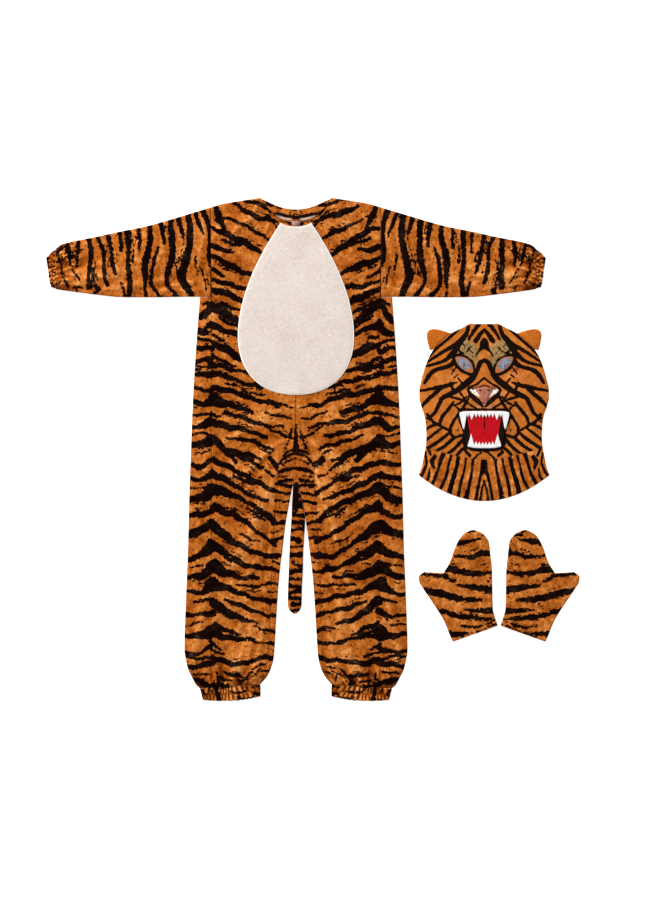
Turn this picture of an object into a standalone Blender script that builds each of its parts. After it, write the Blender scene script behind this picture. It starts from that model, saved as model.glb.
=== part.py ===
"""A child's tiger costume laid out flat: a plush jumpsuit with a tail, a hood mask and two mitts.

Each piece of cloth is a wall with an outer and an inner face, as it is cut and sewn, and the
upper layers lie on the lower ones. Sizes are in millimetres. Drop is the distance down from a
garment's top, and reach the distance out from its centre line. Left is the side at -X.
"""

import math

import bmesh
import bpy
from mathutils import Vector

MM = 0.001
SIDES = {"left": -1, "right": 1}

# The cloth, and how its layers lie on each other
WALL = 2.2
FELT = 1.2
SEAM_GAP = 0.3
EDGE_RADIUS = 3.0
EDGE_HEIGHT = 2 * EDGE_RADIUS
FOLD_STEPS = 4
LOFT = 0.9
LOFT_RUN = 28

# Where each garment lies on the floor, measured from the jumpsuit's neck
MASK_PLACE = (376, 252)
MITT_PLACES = {"left": (350.5, 664), "right": (461.5, 664)}

# The jumpsuit
CHEST_LINE = 74
ARMHOLE = 170
ARMPIT = 198.6
SIDE_SEAM = 168
NECK_HALF = 70
CROTCH = 569.6
ANKLE_SEAM = 980
ANKLE_SLANT = 9
ANKLE_SLANT_STARTS = 900
GUSSET_HALF = 36
GUSSET_FOOT = 540
GUSSET_RISE = 31
ARCH_ANGLES = [math.radians(a) for a in (0, 22.5, 45, 67.5, 90)]
FACING_DEPTH = 23
FACING_HALF = 60
LABEL_WIDTH = 17
LABEL_LENGTH = 12
LABEL_THICKNESS = 0.9
WRIST_SEAM = 479
WRIST_GATHERS = 12
ANKLE_GATHERS = 22
GATHER_DEPTH = 1.5
CASING_HEIGHT = 7.6

# The belly patch is an egg: a power curve above its widest line and another below it
BELLY_WIDEST = 274
BELLY_HALF = 116
BELLY_RISE = 264
BELLY_FALL = 120
BELLY_TOP_POWER = 1.8
BELLY_FOOT_POWER = 2.25
BELLY_PILE = 1.8


class Profile:
    """Sizes at a few stations, in named columns, read between the rows along a smooth curve."""

    def __init__(self, columns, *rows):
        self.columns = columns.split()
        self.rows = rows

    def __call__(self, column, station):
        at = [row[0] for row in self.rows]
        size = [row[self.columns.index(column)] for row in self.rows]
        if station <= at[0]:
            return size[0]
        if station >= at[-1]:
            return size[-1]
        i = max(k for k in range(len(at) - 1) if at[k] <= station)
        step = at[i + 1] - at[i]
        slope = self.slopes(at, size)
        t = (station - at[i]) / step
        return (
            size[i] * (1 + 2 * t) * (1 - t) ** 2
            + size[i + 1] * t * t * (3 - 2 * t)
            + step * t * (1 - t) * (slope[i] * (1 - t) - slope[i + 1] * t)
        )

    @staticmethod
    def slopes(at, size):
        """Slopes at the stations that never overshoot: zero at a turn, else the gentler mean."""
        rise = [(size[k + 1] - size[k]) / (at[k + 1] - at[k]) for k in range(len(at) - 1)]
        inner = [
            2 * a * b / (a + b) if a * b > 0 else 0.0
            for a, b in zip(rise, rise[1:])
        ]
        return [rise[0], *inner, rise[-1]]


BODY = Profile(
    "drop outer",
    (198, 192), (304, 200), (404, 206), (504, 210), (604, 213.5), (704, 216), (804, 220),
    (904, 223), (924, 220), (944, 215), (954, 210), (964, 205), (974, 199), (980, 192),
)
LEG = Profile(
    "drop inner seam",
    (540, 2, 36), (567, 2.5, 36.4), (578, 7, 37), (590, 9.5, 37.5), (614, 14, 39.5),
    (654, 21, 42.5), (704, 27, 45.5), (754, 33, 48), (804, 37, 50), (854, 40, 52),
    (904, 43, 54), (924, 45, 56.5), (944, 49.5, 61.5), (964, 57.5, 70), (980, 70, 82),
)
SHOULDER = Profile("reach drop", (70, 0), (98, 4), (146, 12), (170, 19))
NECK = Profile(
    "reach front back",
    (0, 58, 23), (15, 56.5, 22), (30, 50.5, 18.5), (45, 40, 12.5), (58, 25, 6.5), (70, 0, 0),
)
SLEEVE = Profile(
    "reach top bottom",
    (170, 19, 198), (220, 34, 198), (260, 46, 198.6), (300, 57, 199), (350, 67, 198.5),
    (400, 78, 193.5), (450, 88, 187), (468, 93, 184.5), (480, 101, 182.5),
)
# The cuff's rows, from the wrist seam to its slanting open end
CUFF = Profile(
    "share reach_top top reach_bottom bottom",
    (0.0, 479.3, 101, 479.3, 182.5), (0.5, 489, 107, 484.5, 181.5), (1.0, 499, 119, 489.5, 179.5),
)
# The ankle casing's rows, from the ankle seam to its open end
ANKLE = Profile(
    "share inner inner_drop outer outer_drop bow",
    (0.0, 70, 971.5, 192, 980.4, 0), (0.5, 69, 984, 190.5, 992, 2.5), (1.0, 70, 996, 187, 1003, 5),
)
TAIL = Profile(
    "drop left right height",
    (569.8, -1.9, 1.9, 4.5), (578, -4.6, 5.2, 5.5), (590, -6.6, 8.6, 6.5), (614, -8.2, 13, 7.5),
    (640, -9.4, 17, 8), (684, -12, 16, 8.5), (704, -13, 15, 8.5), (744, -14.4, 14, 8.5),
    (784, -16.4, 12, 8.5), (812, -17, 11.4, 8), (824, -13.5, 8, 7), (831, -5.5, 1, 4),
)
# Soft folds of the front: where the middle lies, which way it runs, and its form.
# Side is -1 or 1 for a fold of one half alone, and 0 for one that both halves have.
FOLDS = Profile(
    "number side reach drop turn length width height",
    (0, 0, 120, 70, 68, 90, 13, 0.9), (1, 0, 140, 140, 20, 80, 15, -0.8),
    (2, -1, 146, 236, 8, 90, 15, 1.0), (3, 1, 150, 262, -12, 90, 15, -0.9),
    (4, 0, 100, 440, 24, 120, 16, 0.9), (5, 0, 64, 486, 32, 95, 13, -1.0),
    (6, 0, 92, 534, 38, 110, 14, 1.2), (7, 0, 70, 600, 78, 130, 12, 1.1),
    (8, 0, 130, 610, 30, 100, 17, -0.9), (9, -1, 110, 700, 50, 120, 16, 1.1),
    (10, 1, 118, 724, 62, 130, 16, -1.1), (11, 0, 78, 760, 84, 140, 12, -0.9),
    (12, 0, 140, 830, 40, 90, 15, 1.0), (13, 0, 92, 868, 80, 120, 13, 1.2),
    (14, 0, 124, 930, 86, 70, 10, 1.4), (15, 0, 156, 946, 84, 60, 9, -1.2),
    (16, 0, 96, 950, 80, 60, 9, -1.2),
)
SLEEVE_FOLDS = Profile(
    "number side reach drop turn length width height",
    (0, 0, 214, 90, 80, 120, 15, 0.9), (1, 0, 256, 160, 30, 90, 14, -0.9),
    (2, -1, 320, 110, 76, 90, 14, 0.8), (3, 1, 300, 128, 60, 90, 14, 1.0),
    (4, 0, 372, 150, 20, 100, 13, 1.1), (5, 0, 410, 118, 40, 80, 12, -1.1),
    (6, 0, 440, 158, 14, 80, 10, 1.4), (7, 0, 446, 132, -10, 60, 9, -1.2),
    (8, 0, 458, 112, -24, 44, 8, 1.2),
)

# A sewn outline is followed in this many steps along each side
OUTLINE_STEPS = 60

# The mask: half-widths of the hood down to its hem, and of the seam between face and bib
MASK = Profile(
    "drop half",
    (0, 27), (2, 38), (5.5, 47), (12, 59), (22, 73), (35, 87), (50, 100), (65, 109.5),
    (86, 118), (109, 124.5), (134, 129.5), (147, 129.5), (165, 125.5), (183, 119.5),
    (200, 116.5), (226, 115.5), (246, 117), (264, 120.5), (285, 124.5), (302, 131),
)
MASK_HEM_CORNER = 302
MASK_HEM_MIDDLE = 354
BIB_SEAM_SIDE = 252
BIB_SEAM_MIDDLE = 271
MASK_LOFT = 1.6
EYE_PLACE = (40.5, 82.5)
EYE_LENGTH = 50
EYE_RISE = 15.5
EYE_SINK = 10
EYE_TILT = 42
EYE_NET = 1.0
MOUTH = Profile(
    "drop lining tongue",
    (174, 49.5, 36), (180, 50, 35.5), (196, 46, 34), (214, 42, 31), (232, 38, 28), (246, 34, 26),
    (253, 28, 20),
)
MOUTH_TOP = 174
MOUTH_FOOT = 253
NOSE = Profile("drop half", (122, 5), (125, 12), (129, 15.5), (136, 14), (146, 8.5), (158, 4.5))
UPPER_TEETH = Profile(
    "reach foot",
    (0, 189), (3.5, 184), (7, 188.5), (10.5, 183.5), (15, 190), (19, 184), (24.5, 196), (29, 185),
    (33, 187), (36.5, 192), (41, 208), (44.5, 210), (47.5, 194), (49.6, 182),
)
LOWER_TEETH = Profile(
    "reach head",
    (0, 238), (3.5, 243), (7, 236), (10.5, 243.5), (14.5, 232), (18.5, 242.5), (22.5, 232),
    (25.5, 216), (28.5, 227), (31, 239), (33.5, 243),
)
LOWER_GUM = 251
EAR = Profile(
    "share reach drop",
    (0.0, 110, 52), (0.15, 114.5, 34), (0.3, 116.5, 21), (0.45, 113.5, 12), (0.6, 104, 8.5),
    (0.8, 88, 10.5), (1.0, 68, 18),
)
EAR_FOOT = 50
EAR_HEAD = 19
EAR_HEIGHT = 7

# The mitts: the hand down to the thumb's root, its outer edge to the cuff, and the thumb
HAND = Profile(
    "drop inner outer",
    (0, 0, 7), (3, -7, 16), (7, -15, 22.5), (13, -20.6, 29), (22.6, -26.5, 34.4),
    (38.6, -34, 37), (50, -37.5, 38), (70.8, -46, 40.5), (86, -55, 41.5), (119, 0, 42),
    (159, 0, 43), (169, 0, 45.5), (179, 0, 48.5), (191, 0, 53),
)
THUMB = Profile(
    "drop outer",
    (84, -93), (86, -98), (93.8, -105.4), (103, -104.4), (116.8, -96.4), (144.4, -78),
    (165, -64.4), (185.6, -52.8), (208.6, -43.6), (222, -38),
)
THUMB_ROOT = (-55, 86)
CUFF_INNER = (-37, 223)
CUFF_OUTER = (53, 191)
MITT_LOFT = 1.2

MATERIALS = {
    "stripe_plush": ((0.42, 0.14, 0.025), 0.9),
    "cream_plush": ((0.80, 0.71, 0.63), 0.95),
    "ear_plush": ((0.56, 0.15, 0.017), 0.9),
    "eye_net": ((0.30, 0.31, 0.36), 0.6),
    "nose_felt": ((0.40, 0.15, 0.10), 0.8),
    "black_felt": ((0.02, 0.014, 0.012), 0.9),
    "red_felt": ((0.55, 0.012, 0.018), 0.85),
    "white_felt": ((0.85, 0.84, 0.83), 0.85),
    "label_tape": ((0.48, 0.30, 0.26), 0.7),
}


class Wall:
    """A closed wall of cloth, from grids of pairs: an outer point and the inner one behind it."""

    def __init__(self, name, material):
        self.name = name
        self.material = material
        self.index = {}
        self.pairs = []
        self.faces = []

    def corner(self, pair):
        key = tuple(round(c, 4) for c in pair[0])
        if key not in self.index:
            self.index[key] = len(self.pairs)
            self.pairs.append(pair)
        return self.index[key]

    def grid(self, rows, closed=False):
        """Adds faces between neighbouring rows. A closed grid joins its last column to its first."""
        table = [[self.corner(pair) for pair in row] for row in rows]
        for upper, lower in zip(table, table[1:]):
            count = len(upper)
            for j in range(count if closed else count - 1):
                k = (j + 1) % count
                face = list(dict.fromkeys((upper[j], upper[k], lower[k], lower[j])))
                if len(face) > 2:
                    self.faces.append(face)
        return self

    def rim(self):
        """The faces that close the wall along its free edges."""
        sides = [(face[k - 1], face[k]) for face in self.faces for k in range(len(face))]
        used = {}
        for a, b in sides:
            used.setdefault(frozenset((a, b)), []).append((a, b))
        return [both[0] for both in used.values() if len(both) == 1]

    def build(self, parent):
        bm = bmesh.new()
        outer = [bm.verts.new(Vector(pair[0]) * MM) for pair in self.pairs]
        inner = [bm.verts.new(Vector(pair[1]) * MM) for pair in self.pairs]
        for face in self.faces:
            bm.faces.new([outer[k] for k in face])
            bm.faces.new([inner[k] for k in reversed(face)])
        for a, b in self.rim():
            bm.faces.new([outer[b], outer[a], inner[a], inner[b]])
        bmesh.ops.recalc_face_normals(bm, faces=bm.faces)
        mesh = bpy.data.meshes.new(self.name)
        bm.to_mesh(mesh)
        bm.free()
        mesh.shade_smooth()
        mesh.materials.append(bpy.data.materials[self.material])
        piece = bpy.data.objects.new(self.name, mesh)
        bpy.context.collection.objects.link(piece)
        piece.parent = parent
        return piece


def clear_scene():
    for thing in list(bpy.data.objects):
        bpy.data.objects.remove(thing)


def make_materials():
    for name, (colour, roughness) in MATERIALS.items():
        material = bpy.data.materials.new(name)
        material.use_nodes = True
        shader = material.node_tree.nodes["Principled BSDF"]
        shader.inputs["Base Color"].default_value = (*colour, 1)
        shader.inputs["Roughness"].default_value = roughness
        shader.inputs["Metallic"].default_value = 0


def holder(name, x, y, parent=None):
    """An empty that a garment's pieces hang on, at a place in the layout."""
    empty = bpy.data.objects.new(name, None)
    bpy.context.collection.objects.link(empty)
    empty.location = Vector((x, y, 0)) * MM
    empty.parent = parent
    return empty


def between(low, high, count):
    """Evenly spaced numbers from low to high, both included."""
    return [low + (high - low) * k / (count - 1) for k in range(count)]


def mix(a, b, share):
    return a + (b - a) * share


def ease(low, high, value):
    """0 below low, 1 above high, and a smooth rise between them."""
    t = min(1.0, max(0.0, (value - low) / (high - low)))
    return t * t * (3 - 2 * t)


def with_edges(width, count):
    """Shares across a piece, with two more columns at each end that round its edge."""
    round_off = [EDGE_RADIUS * (1 - math.cos(a)) / width for a in (0, math.pi / 4, math.pi / 2)]
    inner = between(round_off[-1], 1 - round_off[-1], count)
    return [*round_off[:-1], *inner, *[1 - s for s in reversed(round_off[:-1])]]


def fold_lift(folds, side, reach, drop):
    """How far the soft folds lift or lower the cloth at a place."""
    lift = 0.0
    for row in folds.rows:
        _, only, x, y, turn, length, width, height = row
        if only not in (0, side):
            continue
        angle = math.radians(turn)
        along = (reach - x) * math.cos(angle) + (drop - y) * math.sin(angle)
        across = (drop - y) * math.cos(angle) - (reach - x) * math.sin(angle)
        lift += height * math.exp(-((across / width) ** 2) - (2 * along / length) ** 4)
    return lift


# The jumpsuit's surface


def belly_half(drop):
    """Half the belly patch's width at a drop."""
    if drop < BELLY_WIDEST:
        return BELLY_HALF * (1 - ((BELLY_WIDEST - drop) / BELLY_RISE) ** BELLY_TOP_POWER)
    share = min(1.0, (drop - BELLY_WIDEST) / BELLY_FALL)
    return BELLY_HALF * (1 - share**BELLY_FOOT_POWER) ** (1 / BELLY_FOOT_POWER)


def body_top(side, reach, drop):
    """Height of the jumpsuit's upper face over its body and legs."""
    edge = BODY("outer", drop) - reach if drop > ARMPIT else 2 * LOFT_RUN
    if drop > CROTCH:
        edge = min(edge, reach - LEG("inner", drop))
    if drop < CHEST_LINE + LOFT_RUN and reach > NECK_HALF:
        edge = min(edge, drop - SHOULDER("drop", reach))
    free = ease(EDGE_RADIUS, LOFT_RUN, edge)
    off_belly = ease(4, 34, reach - belly_half(min(drop, BELLY_WIDEST + BELLY_FALL - 1)))
    if drop > BELLY_WIDEST + BELLY_FALL:
        off_belly = ease(4, 34, max(reach - 20, drop - BELLY_WIDEST - BELLY_FALL))
    lift = fold_lift(FOLDS, side, reach, drop) * off_belly
    return EDGE_HEIGHT + free * max(-0.5, min(1.6, LOFT + 0.75 * lift))


def sleeve_top(side, reach, drop):
    """Height of the sleeve's upper face."""
    edge = min(drop - SLEEVE("top", reach), SLEEVE("bottom", reach) - drop)
    free = ease(EDGE_RADIUS, LOFT_RUN, edge)
    lift = fold_lift(SLEEVE_FOLDS, side, reach, drop)
    return EDGE_HEIGHT + free * max(-0.5, min(1.6, LOFT + 0.75 * lift))


def leg_point(reach, drop):
    """Where a place on the leg lies, once the slant of the ankle seam is added."""
    inner, outer = LEG("inner", drop), BODY("outer", drop)
    share = min(1.0, max(0.0, (reach - inner) / (outer - inner)))
    ramp = ease(ANKLE_SLANT_STARTS, ANKLE_SEAM, drop)
    return drop - ANKLE_SLANT * (1 - share) * ramp


def upper(side, reach, drop, top=None):
    """A pair on the upper layer: the wall hangs straight down from its outer face."""
    z = body_top(side, reach, drop) if top is None else top
    y = -leg_point(reach, drop)
    return (side * reach, y, z), (side * reach, y, z - WALL)


def lower(side, reach, drop):
    """A pair on the layer that rests on the floor."""
    y = -leg_point(reach, drop)
    return (side * reach, y, 0.0), (side * reach, y, WALL)


def fold(side, edge, drop, outward):
    """Pairs round a folded edge, from the floor to the top. Outward is 1 away from the centre."""
    centre = edge - outward * EDGE_RADIUS
    pairs = []
    for angle in between(-math.pi / 2, math.pi / 2, FOLD_STEPS + 1):
        y = -leg_point(centre + outward * EDGE_RADIUS * max(0.0, math.cos(angle)), drop)
        pair = []
        for radius in (EDGE_RADIUS, EDGE_RADIUS - WALL):
            x = side * (centre + outward * radius * math.cos(angle))
            pair.append((x, y, EDGE_RADIUS + radius * math.sin(angle)))
        pairs.append(tuple(pair))
    return pairs


def shoulder_round(side, reach, drop, angle, is_upper):
    """A pair on the rounded shoulder edge, where the front and the back meet half way up."""
    sign = 1 if is_upper else -1
    pair = []
    for radius in (EDGE_RADIUS, EDGE_RADIUS - WALL):
        y = -(drop + EDGE_RADIUS - radius * math.cos(angle))
        z = EDGE_RADIUS + sign * max(SEAM_GAP / 2, radius * math.sin(angle))
        pair.append((side * reach, y, z))
    return tuple(pair)


def yoke_rows(side, reaches, neckline, is_upper):
    """Rows from the neckline and shoulder down to the chest line."""
    rows = []
    for angle in (0, math.pi / 4, math.pi / 2):
        row = []
        for reach in reaches:
            if reach > NECK_HALF + 1:
                row.append(shoulder_round(side, reach, SHOULDER("drop", reach), angle, is_upper))
            else:
                drop = NECK(neckline, reach) + EDGE_RADIUS * (1 - math.cos(angle))
                row.append(upper(side, reach, drop) if is_upper else lower(side, reach, drop))
        rows.append(row)
    for share in between(0, 1, 4)[1:]:
        row = []
        for reach in reaches:
            is_neck = reach <= NECK_HALF + 1
            start = NECK(neckline, reach) if is_neck else SHOULDER("drop", reach)
            drop = mix(start + EDGE_RADIUS, CHEST_LINE, share)
            row.append(upper(side, reach, drop) if is_upper else lower(side, reach, drop))
        rows.append(row)
    return rows


def arch(angle, out):
    """Reach and drop of a point on the gusset's arch, moved out or in from its seam."""
    reach = (GUSSET_HALF + out) * math.sin(angle)
    return reach, GUSSET_FOOT - (GUSSET_RISE + out) * math.cos(angle)


def front_inner(drop):
    """The front panel's inner boundary: the centre seam, the gusset's arch, then the inseam."""
    half_gap = SEAM_GAP / 2
    if drop <= arch(0, half_gap)[1]:
        return half_gap
    if drop < GUSSET_FOOT:
        share = (GUSSET_FOOT - drop) / (GUSSET_RISE + half_gap)
        return max(half_gap, (GUSSET_HALF + half_gap) * math.sqrt(1 - share * share))
    return LEG("seam", drop) + half_gap


LEG_DROPS = [
    CROTCH, 578, 594, *between(620, 890, 7), 920, 942, 961, ANKLE_SEAM - SEAM_GAP / 2,
]


def front_panel(name, side, parent):
    """Half of the front, cut in one with the leg, from the shoulder to the ankle seam."""
    outer = ARMHOLE - SEAM_GAP / 2
    reaches = [SEAM_GAP / 2, 22, 46, NECK_HALF, NECK_HALF + 6, 96, 120, 146, outer]
    wall = Wall(name, "stripe_plush")
    wall.grid(yoke_rows(side, reaches, "front", True))
    drops = [
        *between(CHEST_LINE, ARMPIT, 5), *between(228, 484, 9),
        *[arch(angle, SEAM_GAP / 2)[1] for angle in ARCH_ANGLES],
        *LEG_DROPS,
    ]
    rows = []
    for drop in drops:
        edge = mix(outer, SIDE_SEAM - SEAM_GAP / 2, ease(CHEST_LINE, ARMPIT, drop))
        start = front_inner(drop)
        shares = [(reach - reaches[0]) / (outer - reaches[0]) for reach in reaches]
        rows.append([upper(side, mix(start, edge, share), drop) for share in shares])
    wall.grid(rows)
    return wall.build(parent)


def back_panel(name, side, parent):
    """Half of the back, cut in one with the leg. It turns forward at the side and the inseam."""
    armhole = ARMHOLE - SEAM_GAP / 2
    reaches = [SEAM_GAP / 2, 30, 52, NECK_HALF, NECK_HALF + 6, 120, armhole]
    shares = [(reach - reaches[0]) / (armhole - reaches[0]) for reach in reaches]
    wall = Wall(name, "stripe_plush")
    wall.grid(yoke_rows(side, reaches, "back", False))
    above = between(CHEST_LINE, ARMPIT, 3)
    torso = [*between(ARMPIT, 540, 8), CROTCH - SEAM_GAP]
    leg = LEG_DROPS
    wall.grid([[lower(side, mix(reaches[0], armhole, s), drop) for s in shares] for drop in above])
    floor, side_turn, inner_turn = [], [], []
    for drop in torso + leg:
        outer = BODY("outer", drop)
        start = reaches[0] if drop in torso else LEG("inner", drop) + EDGE_RADIUS
        floor.append([lower(side, mix(start, armhole, s), drop) for s in shares])
        strip = between(outer - EDGE_RADIUS, SIDE_SEAM + SEAM_GAP / 2, 3)[1:]
        side_turn.append([
            lower(side, armhole, drop),
            *fold(side, outer, drop, 1),
            *[upper(side, reach, drop) for reach in strip],
        ])
        if drop in leg:
            seam = LEG("seam", drop) - SEAM_GAP / 2
            strip = between(LEG("inner", drop) + EDGE_RADIUS, seam, 3)[1:]
            inner_turn.append([
                *fold(side, LEG("inner", drop), drop, -1),
                *[upper(side, reach, drop) for reach in strip],
            ])
    wall.grid(floor)
    wall.grid(side_turn)
    wall.grid(inner_turn)
    return wall.build(parent)


def gusset(parent):
    """The arched crotch piece between the two fronts, over the legs' inner turns."""
    foot = CROTCH - SEAM_GAP
    rows = []
    for share in between(0, 1, 4):
        row = []
        for angle in [*[-a for a in reversed(ARCH_ANGLES)], *ARCH_ANGLES[1:]]:
            x, head = arch(angle, -SEAM_GAP / 2)
            drop = mix(head, foot, share)
            z = body_top(math.copysign(1, x), abs(x), drop)
            row.append(((x, -drop, z), (x, -drop, z - WALL)))
        rows.append(row)
    return Wall("crotch_gusset", "stripe_plush").grid(rows).build(parent)


def ring_pairs(start, end, height, floor_steps, top_steps, top_height=None):
    """Pairs round a flattened tube whose folded edges lie at two plan points."""
    a, b = Vector(start), Vector(end)
    run = (b - a).normalized()
    radius = height / 2
    flat = (b - a).length - 2 * radius
    pairs = []

    def add(place, normal):
        inner = Vector(place) - WALL * Vector(normal)
        pairs.append((tuple(place), tuple(inner)))

    for share in between(0, 1, floor_steps + 1):
        spot = a + run * (radius + flat * share)
        add((spot.x, spot.y, 0), (0, 0, -1))
    turns = between(-math.pi / 2, math.pi / 2, FOLD_STEPS + 1)
    for angle in turns[1:-1]:
        normal = (run.x * math.cos(angle), run.y * math.cos(angle), math.sin(angle))
        spot = b - run * radius
        add(Vector((spot.x, spot.y, radius)) + radius * Vector(normal), normal)
    for share in between(1, 0, top_steps + 1):
        spot = a + run * (radius + flat * share)
        z = height if top_height is None else top_height(spot)
        add((spot.x, spot.y, z), (0, 0, 1))
    for angle in reversed(turns[1:-1]):
        normal = (-run.x * math.cos(angle), -run.y * math.cos(angle), math.sin(angle))
        spot = a + run * radius
        add(Vector((spot.x, spot.y, radius)) + radius * Vector(normal), normal)
    return pairs


def sleeve(name, side, parent):
    """One sleeve, a single piece round the arm, from the armhole to the wrist seam."""
    stations = [*between(ARMHOLE + SEAM_GAP / 2, 440, 8), 464, WRIST_SEAM]
    rows = []
    for reach in stations:
        start = (side * reach, -SLEEVE("top", reach))
        end = (side * reach, -SLEEVE("bottom", reach))
        rows.append(ring_pairs(
            start, end, EDGE_HEIGHT, 2, 7,
            lambda spot, reach=reach: sleeve_top(side, reach, -spot.y),
        ))
    return Wall(name, "stripe_plush").grid(rows, closed=True).build(parent)


def gathered_ring(start, end, bow, gathers):
    """Pairs round an elasticated band: its outer face dips into a trough between two gathers."""
    a, b = Vector(start), Vector(end)
    run = (b - a).normalized()
    radius = CASING_HEIGHT / 2
    flat = (b - a).length - 2 * radius
    whole = 2 * flat + 2 * math.pi * radius
    pairs = []
    for k in range(3 * gathers):
        place = whole * k / (3 * gathers)
        if place < flat:
            along, normal, z = radius + place, (0, -1), 0
        elif place < flat + math.pi * radius:
            angle = (place - flat) / radius - math.pi / 2
            along = radius + flat + radius * math.cos(angle)
            normal, z = (math.cos(angle), math.sin(angle)), radius + radius * math.sin(angle)
        elif place < 2 * flat + math.pi * radius:
            along, normal, z = radius + 2 * flat + math.pi * radius - place, (0, 1), CASING_HEIGHT
        else:
            angle = (place - 2 * flat - math.pi * radius) / radius + math.pi / 2
            along = radius + radius * math.cos(angle)
            normal, z = (math.cos(angle), math.sin(angle)), radius + radius * math.sin(angle)
        trough = 0 if k % 3 == 0 else GATHER_DEPTH
        share = along / (b - a).length
        spot = a + run * along - Vector((0, bow * 4 * share * (1 - share)))
        pair = []
        for depth in (trough, trough + WALL):
            x, y = spot - run * normal[0] * depth
            pair.append((x, y, z - normal[1] * depth))
        pairs.append(tuple(pair))
    return pairs


def wrist_casing(name, side, parent):
    rows = []
    for share in (0, 0.5, 1):
        start = (side * CUFF("reach_top", share), -CUFF("top", share))
        end = (side * CUFF("reach_bottom", share), -CUFF("bottom", share))
        rows.append(gathered_ring(start, end, 0, WRIST_GATHERS))
    return Wall(name, "stripe_plush").grid(rows, closed=True).build(parent)


def ankle_casing(name, side, parent):
    rows = []
    for share in (0, 0.5, 1):
        start = (side * ANKLE("inner", share), -ANKLE("inner_drop", share))
        end = (side * ANKLE("outer", share), -ANKLE("outer_drop", share))
        rows.append(gathered_ring(start, end, ANKLE("bow", share), ANKLE_GATHERS))
    return Wall(name, "stripe_plush").grid(rows, closed=True).build(parent)


def neck_facing(parent):
    """The band inside the back of the neck, which shows above the lower front neckline."""
    foot = WALL + SEAM_GAP
    rows = []
    for share in between(0, 1, 3):
        row = []
        for reach in between(-FACING_HALF, FACING_HALF, 13):
            drop = NECK("back", abs(reach)) + mix(0.6, FACING_DEPTH, share)
            row.append(((reach, -drop, foot + FELT - 0.2), (reach, -drop, foot)))
        rows.append(row)
    return Wall("neck_facing", "stripe_plush").grid(rows).build(parent)


def neck_label(parent):
    """The plain label sewn under the facing."""
    head = NECK("back", 0) + FACING_DEPTH + SEAM_GAP
    foot = WALL + SEAM_GAP
    rows = []
    for share in between(0, 1, 4):
        half = LABEL_WIDTH / 2 * math.sqrt(1 - 0.75 * share**4)
        y = -head - LABEL_LENGTH * share
        reaches = [half * f for f in (-1, -0.5, 0, 0.5, 1)]
        rows.append([((x, y, foot + LABEL_THICKNESS), (x, y, foot)) for x in reaches])
    return Wall("neck_label", "label_tape").grid(rows).build(parent)


def belly_patch(parent):
    """The egg-shaped patch of cream plush, sewn on over both fronts."""
    foot = BELLY_WIDEST + BELLY_FALL
    head_half = belly_half(NECK("front", 30))
    drops = [
        *between(NECK("front", 30), 250, 8), *between(276, 356, 4), 373, 384, 391, foot - 0.4,
    ]
    rows = []
    for drop in drops:
        half = belly_half(drop)
        row = []
        for f in (-1, -0.97, -0.75, -0.45, -0.15, 0.15, 0.45, 0.75, 0.97, 1):
            reach = f * half
            sink = NECK("front", min(30, abs(f) * head_half)) - NECK("front", 30)
            y = drop + max(0.0, sink) * ease(118, drops[0], drop)
            bottom = body_top(1, abs(reach), y) + SEAM_GAP
            pile = BELLY_PILE * (0.6 if abs(f) == 1 or drop in (drops[0], drops[-1]) else 1)
            row.append(((reach, -y, bottom + pile), (reach, -y, bottom)))
        rows.append(row)
    return Wall("belly_patch", "cream_plush").grid(rows).build(parent)


def tail(parent):
    """The lightly stuffed tail, from the crotch down between the legs."""
    drops = [569.8, 578, 590, 602, 614, 634, *between(660, 800, 5), 813, 822, 828, 831]
    rows = []
    for drop in drops:
        left, right = TAIL("left", drop), TAIL("right", drop)
        half, middle = (right - left) / 2, (right + left) / 2
        height = TAIL("height", drop)
        row = []
        for angle in between(-math.pi / 2, math.pi / 2, 9):
            x = middle + half * math.sin(angle)
            bulge = math.sqrt(max(0.0, 1 - abs(math.sin(angle)) ** 3))
            rise = mix(0.4, height / 2, bulge)
            fall = mix(0.4, height / 2, min(1.0, 1.6 * bulge))
            row.append(((x, -drop, height / 2 + rise), (x, -drop, height / 2 - fall)))
        rows.append(row)
    return Wall("tail", "stripe_plush").grid(rows).build(parent)


# Shapes of two layers, sewn together round their outline


class Outline:
    """The sewn edge of a two-layered shape, as a line of plan points with the shape on its left."""

    def __init__(self, points):
        self.points = [Vector(p) for p in points]

    def nearest(self, x, y):
        """Distance to the edge, and the way out to it."""
        spot, best = Vector((x, y)), (1e9, Vector((0, 1)))
        for a, b in zip(self.points, self.points[1:]):
            run = b - a
            share = min(1.0, max(0.0, (spot - a).dot(run) / run.length_squared))
            away = a + run * share - spot
            if away.length < best[0]:
                out = Vector((run.y, -run.x)).normalized()
                best = (away.length, away.normalized() if away.length > 0.4 else out)
        return best

    def layer(self, x, drop, is_upper, loft):
        """A pair on the upper or lower layer. The two meet half way up, all round the edge."""
        distance, out = self.nearest(x, -drop)
        cosine = max(0.0, 1 - distance / EDGE_RADIUS)
        sine = math.sqrt(1 - cosine * cosine)
        rise = loft * (1 - math.exp(-((distance / LOFT_RUN) ** 2))) if is_upper else 0
        sign = 1 if is_upper else -1
        z = EDGE_RADIUS + sign * (max(SEAM_GAP / 2, EDGE_RADIUS * sine) + rise)
        back = WALL * cosine
        inner = (x - out.x * back, -drop - out.y * back, z - sign * WALL * sine)
        return (x, -drop, z), inner


def mask_outline():
    drops = [MASK_HEM_CORNER * (k / OUTLINE_STEPS) ** 1.6 for k in range(OUTLINE_STEPS + 1)]
    left = [(-MASK("half", drop), -drop) for drop in drops]
    right = [(MASK("half", drop), -drop) for drop in drops]
    return Outline([*reversed(right), *left])


def bib_seam(x):
    """Drop of the seam between the face and the bib."""
    return mix(BIB_SEAM_MIDDLE, BIB_SEAM_SIDE, ease(0, 150, abs(x)) * 1.25)


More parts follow.
